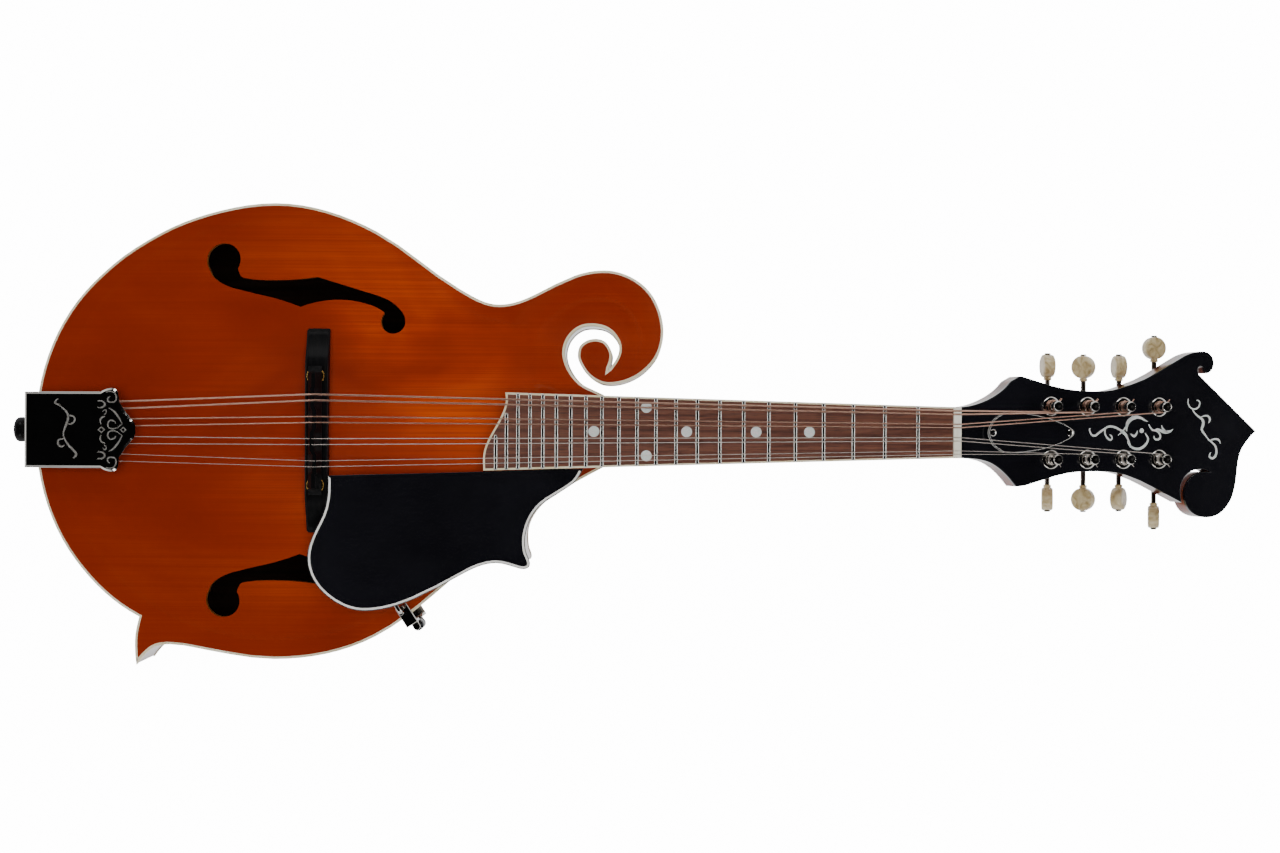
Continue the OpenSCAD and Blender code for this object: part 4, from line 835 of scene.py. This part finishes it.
# ---------------------------------------------------------------- bridge
# the foot follows the arch of the top, with a round opening in its middle
low = [(y, float(TOP_ARCH * swell([[BRIDGE_X, y]])[0]) + 0.03) for y in np.linspace(-56, 56, 57)]
low = [(y, max(z, 8.9 + math.sqrt(64 - y * y) if abs(y) < 7.9 else 0)) for y, z in low]
crest = [(56, 13.6), (55.2, 14.5), (52, 15.6), (47, 17.2), (43, 19.3), (40.4, 20.6), (38, 21.5), (35, 22),
         (25, 22)]
crest += [(-y, z) for y, z in reversed(crest)]
crest = [(y, min(z, 20.0) if y < -38.5 else z) for y, z in crest]
v, f, _ = slab([np.array(low + crest)], -6.3, 6.3, 0.9, foot=0.9)
m = Mesh().add(v, f, shift(BRIDGE_X, 0, 0) @ CYC)
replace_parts(m.make("bridge_foot", m_ebony, sharp=30, slot="ebony"), "bridge_base")

# the saddle's crest steps to and fro from one pair of strings to the next
rows = []
for y in np.unique(np.concatenate([np.linspace(-35, 35, 141), [-31, 31]])):
    z = STRING_Z
    if abs(y) > 31:
        z = max(33 - math.sqrt(max(49 - (38 - abs(y)) ** 2, 0)), 26.3)
    k = min(max((y + 24) / 12, 0), 3.999)
    step = (0.75, -0.75, 0.6, -0.5)[int(k)] if abs(y) < 24 else 0
    sh = step * min(1, (0.5 - abs(k % 1 - 0.5)) * 9) if abs(y) < 24 else 0
    z1, z2 = min(27.2, z - 0.2), min(30.6, z - 0.1)
    rows.append([(3.6, y, 25.25), (3.6, y, z1), (1.5 + sh * 0.5, y, z2), (1.1 + sh, y, z), (-1.1 + sh, y, z),
                 (-1.5 + sh * 0.5, y, z2), (-3.6, y, z1), (-3.6, y, 25.25)])
m = Mesh().add(*caps(*strip(rows), 8), shift(BRIDGE_X, 0, 0))
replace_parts(m.make("saddle_top", m_ebony, body="saddle", sharp=35, slot="ebony"), "bridge_saddle")

BRIDGE_POST_Y = 29.7
prof = [(0, 14.7)]
for k in range(31):
    prof += [(1.55, 14.7 + k * 0.4), (1.75, 14.9 + k * 0.4)]
prof = [p for p in prof if p[1] < 26.9] + [(1.3, 27), (0, 27)]
m = Mesh()
for s in (-1, 1):
    m.add(*lathe(prof, 24), shift(BRIDGE_X, s * BRIDGE_POST_Y, 0))
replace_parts(m.make("bridge_threads", m_brass, slot="brass"), "bridge_posts")
a = np.linspace(0, 2 * math.pi, 192, endpoint=False)
knurl = 4.8 - 0.26 * (0.5 - 0.5 * np.cos(24 * a)) ** 2
ringo = np.stack([knurl * np.cos(a), knurl * np.sin(a)], 1)
for s, nm in ((1, "bass"), (-1, "treble")):
    v, f, _ = slab([ringo, circle(0, 0, 1.82, 32)[::-1]], 23.2, 25.2, 0.35, foot=0.35)
    m = Mesh().add(v, f, shift(BRIDGE_X, s * BRIDGE_POST_Y, 0))
    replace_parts(m.make("wheel_%s_knurled" % nm, m_brass, body="wheel_" + nm, sharp=40, slot="brass"),
                "thumbwheel_" + nm)

# ---------------------------------------------------------------- tailpiece
m = Mesh()
plate = np.array([(-1.8, -19), (47.8, -19), (47.8, 19), (-1.8, 19)], float)
m.add(*slab([plate] + [circle(24, s * 9, 3.2, 32)[::-1] for s in (-1, 1)], 0, 1.2, 0.25))
HOOK_X = 37
hook = [(0, 1), (0.9, 1.1), (0.9, 3.9), (1.0, 4.3), (1.45, 4.6), (1.6, 4.85), (1.5, 5.2), (1.0, 5.45),
        (0, 5.5)]
for i in range(8):
    m.add(*lathe(hook, 24), shift(HOOK_X, tail_y(i), 0))
base = m.make("tailpiece_plate", m_nickel, TAILF, slot="nickel")
tail_yz = np.array([(-18.6, 3.3), (-17, -12), (-8, -33), (8, -33), (17, -12), (18.6, 3.3)], float)
TAIL_SCREWS = ((9.5, -7), (-9.5, -7), (0, -12))
m = Mesh().add(*slab([tail_yz, circle(0, -23, 4, 36)[::-1]]
                     + [circle(y, z, 1.6, 24)[::-1] for y, z in TAIL_SCREWS],
                     -1.95, -0.25, 0.25, foot=0.25), CYC)
drop = m.make("tailpiece_drop", m_nickel, slot="nickel")
for ob in (base, drop):
    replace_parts(ob, "tailpiece_base")

COVER = [[-2.6, -20.9, -90, 0], [41, -20.9, 0, -35], [47, -23, -5], [51.2, -19.6, 82], [51.6, -15.2, 100, 55],
         [55.3, -9.8, 58, 40], [58.6, -5.8, 52, 35], [61, 0, 90]]
cover = loop(COVER + flip(COVER)[1:], 5)
m = Mesh().add(*slab([cover], 5.9, 6.8, slope=(1.15, 0.85)))
for lo, hi in ((-20.95, -20.05), (20.05, 20.95)):
    m.add(*block((-2.6, lo, 0.4), (40.8, hi, 6.3), 0.2))
m.add(*block((-2.6, -20.9, 0.4), (-2.1, 20.9, 6.3), 0.15))
CUTS = [[[[44.3, 20.6, 20], [49.6, 19.6, -60], [48.6, 15.2, 190], [45.3, 16.2, 100], [46.6, 18.2, 10]],
         0.4, 0.9, 0.5],
        [[[39.6, 15.8, 10], [43.6, 14.6, -60], [41.5, 12.2, 190], [39.4, 12.4, 150]], 0.5, 1.1, 0.4],
        [[[45.9, 11.9, -20], [50.6, 8.2, -55], [53.6, 3.2, -70]], 0.3, 1.5, 0.3],
        [[[53.6, 3.2, 215], [49.4, 0.6, 190], [45.4, 2.7, 90], [47.6, 5.2, -10], [49.8, 3.3, -100]],
         0.4, 0.9, 0.5],
        [[[43.9, 7.4, 190], [41.1, 5.3, 260], [41.7, 2.9, -60]], 0.4, 1.2, 0.4],
        [[[42.4, 9.8, 60], [44.5, 10.4, -70], [43.2, 8.4, 190]], 0.4, 0.6, 0.4]]
engrave = lambda loops: m.add(*slab(loops, 6.5, 6.815, 0.0), 1)
for keys, w0, wm, w1 in CUTS:
    engrave([stroke(keys, w0, wm, w1)])
    engrave([stroke(flip(keys), w1, wm, w0)])
for cx, rx, ry in ((41.7, 2.2, 1.9), (54.2, 1.9, 1.7)):
    ring = np.array([(cx - rx, 0), (cx, -ry), (cx + rx, 0), (cx, ry)], float)
    engrave([ring, inset(ring, 0.55)[::-1]])
SPRAY = [[[[17.5, 13.5, -40], [22.5, 8.5, -70], [21.5, 2.5, -110], [20, -3, -80]], 0.5, 1.5, 0.7],
         [[[17.5, 13.5, 150], [15.2, 15.3, 60], [17.2, 16.8, -20]], 0.6, 1.1, 0.4],
         [[[22.3, 7.5, 20], [26.3, 6.5, -60], [24.5, 3.2, 200], [22.4, 3.6, 130]], 0.5, 1.2, 0.4],
         [[[20, -3, -80], [23.2, -8.8, -50], [27.2, -12.8, -60], [25.4, -15.6, 200]], 0.7, 1.5, 0.4],
         [[[20.3, -4.8, 210], [16.9, -6.3, 260], [18.1, -9.2, -30], [20.6, -8.4, 60]], 0.5, 1.2, 0.4]]
for s in SPRAY:
    engrave([stroke(*s)])
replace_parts(m.make("tailpiece_lid", [m_nickel, m_engrave], TAILF, body="cover", sharp=30, slot="nickel"),
            "tailpiece_cover")

# ---------------------------------------------------------------- pickguard
GUARD = [[166.3, None, 178, -88], [165.1, -41.7, -104], [157.6, -59.1, -110], [155.5, -69.5, -90],
         [164.9, -89.1, -42], [186.5, -98.4, 0], [212.6, -92.2, 23], [238.7, -78.9, 29], [257.7, -72.5, 0],
         [270, -75.4, -15], [276.3, -73.6, 75], [274.3, -66.6, 106], [273.7, -58, 83], [282.6, -40.2, 42],
         [291.4, -34.3, 33], [300.2, -28.4, 42], [305.3, None, 62, 178.4]]
GUARD[0][1] = -half_at(board_u(166.3)) - 0.5
GUARD[-1][1] = -half_at(board_u(305.3)) - 0.5
GUARD = [[board_u(k[0])] + k[1:] for k in GUARD]
guard = loop(GUARD, 4)
m = Mesh().add(*slab([guard], -7.4, -4.6, 0.25, foot=0.2))
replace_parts(m.make("guard_plate", m_black, BOARD, sharp=30, slot="black_plastic"), "pickguard")
path = way(GUARD, 4)
rows = []
for o, z in ((0.5, -4.62), (0.5, -4.585), (1.6, -4.585), (1.6, -4.62)):
    r = inset(guard, o)[:len(path) - 1]
    rows.append(np.column_stack([r, np.full(len(r), z)]))
v, f = strip(rows, True)
n = len(rows[0])
f = [q for k, q in enumerate(f) if k % n != n - 1]
f += [(0, n, 2 * n, 3 * n), (n - 1, 2 * n - 1, 3 * n - 1, 4 * n - 1)]
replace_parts(piece("guard_line", v, f, m_white, BOARD), "pickguard_binding")

CLAMP = BODY @ turn("Z", -57, 206.2, -101.6, 0)
BARREL_X = 9.6
m = Mesh()
for mv in (Matrix.Identity(4), shift(0, 0, -DEPTH) @ Matrix.Diagonal((1, 1, -1, 1))):
    m.add(*block((-5, -3.5, 0.05), (7.2, 3.5, 1.45), 0.35), mv)
    m.add(*block((5.6, -3.5, -9.6), (7.2, 3.5, 1.45), 0.3), mv)
    m.add(*lathe(rounded(3.5, 0, 1.6, 0.3), 36), mv @ turn("Y", 90, 5.6, 0, -9.6))
    m.add(*lathe(rounded(1.4, -19, -9, 0.2), 24), mv @ shift(BARREL_X, 0, 0))
    m.add(*block((6.4, -2, -12), (BARREL_X, 2, -9), 0.3), mv)
    m.add(*lathe(rounded(2, -12, -9, 0.3), 28), mv @ shift(BARREL_X, 0, 0))
m.add(*block((-26, -2.5, 14), (-18, 2.5, 15.2), 0.3))
path = [(-20, 0, 14.6), (-10, 0, 14.6), (-4.4, 0, 14.6)]
path += [(-4.4 + 2.8 * math.sin(t), 0, 11.8 + 2.8 * math.cos(t)) for t in np.linspace(0.15, math.pi / 2, 8)]
path += [(-1.6, 0, 6), (-1.6, 0, 0.8)]
m.add(*tube(path, 1.2, 20))
m.add(*lathe(rounded(1.2, 0.8, 14.6, 0.3), 20), shift(-1.6, 0, -0.2))
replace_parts(m.make("guard_clamp", m_nickel, CLAMP, sharp=30, slot="nickel"), "pickguard_clamp")
prof = [(0, -9.5), (2.2, -9.5), (2.4, -9.3), (2.4, -8), (2.8, -7.8), (3, -7.5)]
prof += [(3 - 0.18 * (k % 2), -6.6 + k * 0.35) for k in range(9)]
prof += [(3, -3.3), (3, 3.3)] + [(3 - 0.18 * (k % 2), 3.8 + k * 0.35) for k in range(9)]
prof += [(3, 7.5), (2.8, 7.8), (2.4, 8), (2.4, 9.3), (2.2, 9.5), (0, 9.5)]
m = Mesh().add(*lathe(prof, 36), shift(BARREL_X, 0, -DEPTH / 2))
ob = m.make("clamp_sleeve", m_barrel, CLAMP, body="barrel", sharp=30, slot="dark_metal")
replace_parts(ob, "clamp_barrel")

# ---------------------------------------------------------------- strings
TO_BODY = BODY.inverted()
POST_OF = [0, 1, 2, 3, 7, 6, 5, 4]
WRAPS = [2, 4, 5, 6]
wind_z = lambda k: 4 if k == 0 else 3.7 if k == 4 else 4.7
line = lambda a, b, n: [a.lerp(b, t / n) for t in range(1, n + 1)]


def stretched(name, m, mat):
    """A string piece on no body, its placing baked into its points."""
    ob = m.make(name, mat, body=None, slot="string_wire")
    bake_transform(ob)
    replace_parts(ob, "strings")


for i in range(8):
    r, k = srad(i), POST_OF[i]
    px, py = posts[k]
    side = 1 if py > 0 else -1
    bend = 0.98 + r
    mat = m_wound if i < 4 else m_plain
    loop_pts = [TO_BODY @ at(TAILF, HOOK_X + bend * math.cos(t), tail_y(i) + bend * math.sin(t), 3.4)
                for t in np.radians(np.arange(45, 316, 15))]
    saddle = Vector((BRIDGE_X, bridge_y(i), STRING_Z))
    front = TO_BODY @ at(BOARD, -0.2, nut_y(i), 1.5)
    back = TO_BODY @ at(BOARD, 4.4, nut_y(i), 1.15)
    end = TO_BODY @ at(FACE, px, side * (POST_Y - 2.7 - r - 0.05), wind_z(k))
    tailp = loop_pts + line(loop_pts[-1], saddle, 16)
    twist = []
    off = r * 1.2 + 0.1
    for t in np.linspace(0, 1, 60):
        c = loop_pts[-1].lerp(saddle, 0.03 + 0.09 * t)
        w = t * 12 * math.pi
        twist.append((c.x, c.y + off * math.cos(w), c.z + off * math.sin(w)))
    m = Mesh().add(*tube(tailp, r, 12)).add(*tube(twist, min(r, 0.2), 8))
    stretched("string_%d_tail" % (i + 1), m, mat)
    m = Mesh().add(*tube([saddle] + line(saddle, front, 24), r, 12))
    stretched("string_%d_speaking" % (i + 1), m, mat)
    m = Mesh().add(*tube([front, front.lerp(back, 0.5), back] + line(back, end, 6), r, 12))
    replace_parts(m.make("string_%d_head" % (i + 1), mat, slot="string_wire"), "strings")

# ---------------------------------------------------------------- tuners
GEAR_Z, PLATE_Z = -17.4, -14.02
WORM_DX = 7.3
m = Mesh()
x0, x1, y0, y1 = POST_L - 8, POST_L + 3 * PITCH + 15.5, 7.4, 21.3
corner, lug = 2.0, 2.4
for s in (-1, 1):
    out = []
    for cx, cy, a0 in ((x1 - corner, y0 + corner, -90), (x1 - corner, y1 - corner, 0),
                       (x0 + corner, y1 - corner, 90), (x0 + corner, y0 + corner, 180)):
        out += [(cx, cy) + corner * unit(a0 + t) for t in range(0, 91, 15)]
    out = np.array(out)
    holes = [circle(x, POST_Y, 3.04, 32) for x, _ in posts[:4]]
    if s < 0:
        out, holes = (out * (1, -1))[::-1], [h * (1, -1) for h in holes]
    else:
        holes = [h[::-1] for h in holes]
    m.add(*slab([out] + holes, PLATE_Z, PLATE_Z + 1, 0.25, foot=0.25))
    for px, _ in posts[:4]:
        for e in (-5.2, 5.2):
            x, y = px + WORM_DX, s * (POST_Y + e)
            tab = np.array([(x - lug, GEAR_Z)] + [(x + lug * math.cos(t), GEAR_Z + lug * math.sin(t))
                           for t in np.linspace(math.pi, 2 * math.pi, 17)] +
                           [(x + lug, GEAR_Z), (x + lug, PLATE_Z + 0.5), (x - lug, PLATE_Z + 0.5)])
            v, f, _ = slab([tab, circle(x, GEAR_Z, 1.54, 24)[::-1]], -0.8, 0.8, 0.15, foot=0.15)
            m.add(v, f, Matrix(((1, 0, 0, 0), (0, 0, -1, y), (0, 1, 0, 0), (0, 0, 0, 1))))
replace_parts(m.make("tuner_base_plates", m_nickel, FACE, sharp=30, slot="nickel"), "tuner_plates")

m = Mesh()
bushing = [(3.05, -8), (4.36, -8), (4.36, 0.02), (5.4, 0.02), (5.5, 0.12), (5.5, 0.5), (5.35, 0.75),
           (4.9, 1.0), (4.2, 1.22), (3.6, 1.3), (3.15, 1.25), (3.05, 1.1)]
for x, y in posts:
    m.add(*lathe(bushing, 48), shift(x, y, 0))
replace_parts(m.make("post_bushings", m_nickel, FACE, slot="nickel"), "tuner_bushings")

m = Mesh()
for x, slot_deg in ((20, 35), (68.5, 80)):
    s = screw_head(2, slot_deg)
    m.add(s.v, s.f, s.i, shift(x, 0, 1.62))
for side in (-1, 1):
    for k, l in enumerate((-5, 0.75 * PITCH, 1.75 * PITCH, 2.75 * PITCH, 3 * PITCH + 12.5)):
        s = screw_head(1.7, 40 + 50 * k)
        m.add(s.v, s.f, s.i, turn("X", 180, POST_L + l, side * 9.6, PLATE_Z))
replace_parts(m.make("head_screws", [m_nickel, m_slot_shadow], FACE, slot="nickel"), "wood_screws")
m = Mesh()
for y, z in TAIL_SCREWS:
    s = screw_head(2.5, 25 + 5 * y)
    m.add(s.v, s.f, s.i, turn("Y", -90, -1.98, y, z))
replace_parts(m.make("tail_screws", [m_nickel, m_slot_shadow], slot="nickel"), "wood_screws")

BUTTON_Y = [38.4, 38, 38.4, 49.6, 38, 38.4, 38.2, 49]
BUTTON_TURN = [102, 56, 102, 6, 118, 50, -40, 120]
button_face = [(0, 3.38), (3, 3.36), (5, 3.3), (5.75, 3.22), (6.3, 2.9), (6.54, 2.4), (6.6, 1.6)]
button_prof = [(r, -z) for r, z in button_face] + button_face[::-1]
post_prof = [(0, GEAR_Z), (3, GEAR_Z), (3.6, GEAR_Z + 1.3), (3.6, PLATE_Z - 0.06), (3, PLATE_Z - 0.06),
             (3, 1.7), (2.7, 2), (2.7, 6), (3, 6.4), (3, 8.6), (2.85, 9.1), (2.5, 9.45), (1.6, 9.6), (0, 9.6)]
tooth = [(-8.3, 4.0), (-5, 4.08), (-2.5, 5.3), (2.5, 5.3), (5, 4.08)]
gear = np.array([unit((t + 0.5) * 22.5 + da) * r for t in range(16) for da, r in tooth])


def button(far):
    """Round button with its ferrule, far along the shaft."""
    m = Mesh().add(*lathe(button_prof, 56), shift(far, 0, 0))
    ferrule = [(1.5, -8.2), (2.0, -8.2), (2.25, -7.9), (2.3, -7.2), (2.1, -6.6), (2.3, -5.6), (2.3, -4)]
    return m.add(*lathe([(r, far + z) for r, z in ferrule], 32), turn("Y", 90))


def worm_shaft(far):
    """Shaft with its worm thread in the middle and the screw that holds the button."""
    m = Mesh()
    m.add(*lathe([(0, -6.3), (1.3, -6.3), (1.5, -6.1), (1.5, -4.4), (1.75, -4.35), (1.75, 4.35), (1.5, 4.4),
                  (1.5, far - 3.3), (0, far - 3.3)], 28), turn("Y", 90))
    head = [(0, 6.6), (1.9, 6.65), (1.85, 6.9), (1.4, 7.4), (0, 7.45)]
    m.add(*lathe([(r, far + z) for r, z in head], 24), turn("Y", 90))
    # the slot in the screw's head is a dark bar of painted shadow
    m.add(*block((far + 7.2, -1.5, -0.22), (far + 7.46, 1.5, 0.22), 0.03), 1)
    lead, root, rows = math.pi * 0.6, 1.7, []
    for t in np.linspace(-2.1, 2.1, 152):
        grow = min(1, (2.1 - abs(t)) * 5)
        w = 2 * math.pi * t - math.pi / 2
        rows.append([(t * lead + dx, -r * math.sin(w), r * math.cos(w))
                     for r, dx in ((root, -0.5), (root + 1.25 * grow, -0.24), (root + 1.35 * grow, 0),
                                   (root + 1.25 * grow, 0.24), (root, 0.5))])
    return m.add(*caps(*strip(rows), 5))


def wound_post(k, i, side):
    """Post k with its gear below, string i coiled on it and the string's end."""
    r, n = srad(i), WRAPS[i // 2]
    m = Mesh().add(*lathe(post_prof, 40))
    # a dark rod through the post and a dark dot on its top: painted shadow in the string hole and at the
    # middle of the top
    m.add(*lathe(rounded(0.62, -3.02, 3.02, 0.1), 20), 3, turn("X", 90, 0, 0, 5.4))
    m.add(*lathe(rounded(0.9, 9.3, 9.62, 0.1), 20), 3)
    m.add(*slab([gear], GEAR_Z - 1.3, GEAR_Z + 1.3, 0.2, foot=0.2), 2)
    m.add(*lathe([(0, GEAR_Z - 2.8), (2.2, GEAR_Z - 2.8), (2.6, GEAR_Z - 1.2), (0, GEAR_Z - 1.2)], 28), 2)
    climb = 2 * r + 0.03
    coil = [((2.68 + r) * math.cos(t), (2.68 + r) * math.sin(t), wind_z(k) - climb * (0.5 + t / 2 / math.pi))
            for t in np.linspace(0, 2 * math.pi * (n - 0.5), 30 * n)]
    m.add(*tube(coil, r, 10), 1)
    return m.add(*tube([(math.cos(0.9) * d, math.sin(0.9) * d * side, 5.4 + 0.02 * d * d)
                        for d in np.linspace(-2.5, 5.6, 14)], r, 10), 1)


for k, (px, py) in enumerate(posts):
    n, i = k + 1, POST_OF.index(k)
    side = 1 if py > 0 else -1
    far = BUTTON_Y[k] - POST_Y
    worm = FACE @ shift(px + WORM_DX, py, GEAR_Z) @ Matrix.Diagonal((1, side, 1, 1)) @ turn("Z", 90)
    ob = button(far).make("button_%d_ivory" % n, m_ivory, worm @ turn("X", -BUTTON_TURN[k]),
                          body="key_%d" % n, sharp=40, slot="ivory_button")
    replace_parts(ob, "tuner_button_%d" % n)
    ob = worm_shaft(far).make("worm_%d_cut" % n, [m_steel, m_slot_shadow], worm, body="key_%d" % n, sharp=40,
                              slot="steel")
    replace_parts(ob, "tuner_worm_%d" % n)
    mats = [m_nickel, m_wound if i < 4 else m_plain, m_brass, m_slot_shadow]
    ob = wound_post(k, i, side).make("post_%d_wound" % n, mats, FACE @ shift(px, py, 0),
                                     body="post_%d" % n, sharp=35, slot="nickel")
    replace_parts(ob, "tuner_post_%d" % n)

# ---------------------------------------------------------------- floor, light
me = bpy.data.meshes.new("floor")
me.from_pydata([(-4, -4, 0), (4, -4, 0), (4, 4, 0), (-4, 4, 0)], [], [(0, 1, 2, 3)])
floor = bpy.data.objects.new("floor", me)
bpy.context.collection.objects.link(floor)
fm = Mat("white_paper", (250, 250, 250), 0.9)
fm.b.inputs["Emission Color"].default_value = (1, 1, 1, 1)
fm.b.inputs["Emission Strength"].default_value = 14.0
me.materials.append(fm.m)
floor.visible_glossy = floor.visible_diffuse = False


def light(name, loc, to, size, size_y, power):
    """A soft box of the given size and power, aimed at a place."""
    la = bpy.data.lights.new(name, "AREA")
    la.shape, la.size, la.size_y, la.energy = "RECTANGLE", size, size_y, power
    ob = bpy.data.objects.new(name, la)
    bpy.context.collection.objects.link(ob)
    ob.location = loc
    ob.rotation_euler = (Vector(to) - Vector(loc)).to_track_quat("-Z", "Y").to_euler()
    return ob


light("back_box", (0.1, 1.5, 1.15), (0, 0, 0.07), 1.6, 0.35, 10)
light("front_box", (0.0, -1.6, 1.1), (0, 0, 0.07), 1.6, 0.35, 8)
light("overhead", (0, 0, 2.6), (0, 0, 0), 2.6, 1.8, 52).visible_glossy = False
light("left_box", (-1.9, 0.0, 0.6), (0, 0, 0.05), 0.8, 0.5, 6)
light("right_box", (1.9, 0.0, 0.5), (0.1, 0, 0.05), 0.8, 0.4, 6)

world = bpy.data.worlds.new("world")
bpy.context.scene.world = world
world.use_nodes = True
wt = world.node_tree
geo = wt.nodes.new("ShaderNodeTexCoord").outputs["Generated"]
sep = wt.nodes.new("ShaderNodeSeparateXYZ")
wt.links.new(geo, sep.inputs[0])
ramp = wt.nodes.new("ShaderNodeValToRGB")
# bright up to just above the horizon, nearly black from 25 degrees up
below, above = ramp.color_ramp.elements
below.position, below.color = 0.12, (1.3, 1.3, 1.3, 1)
above.position, above.color = 0.42, (0.003, 0.003, 0.0032, 1)
wt.links.new(sep.outputs["Z"], ramp.inputs["Fac"])
wt.links.new(ramp.outputs["Color"], wt.nodes["Background"].inputs["Color"])
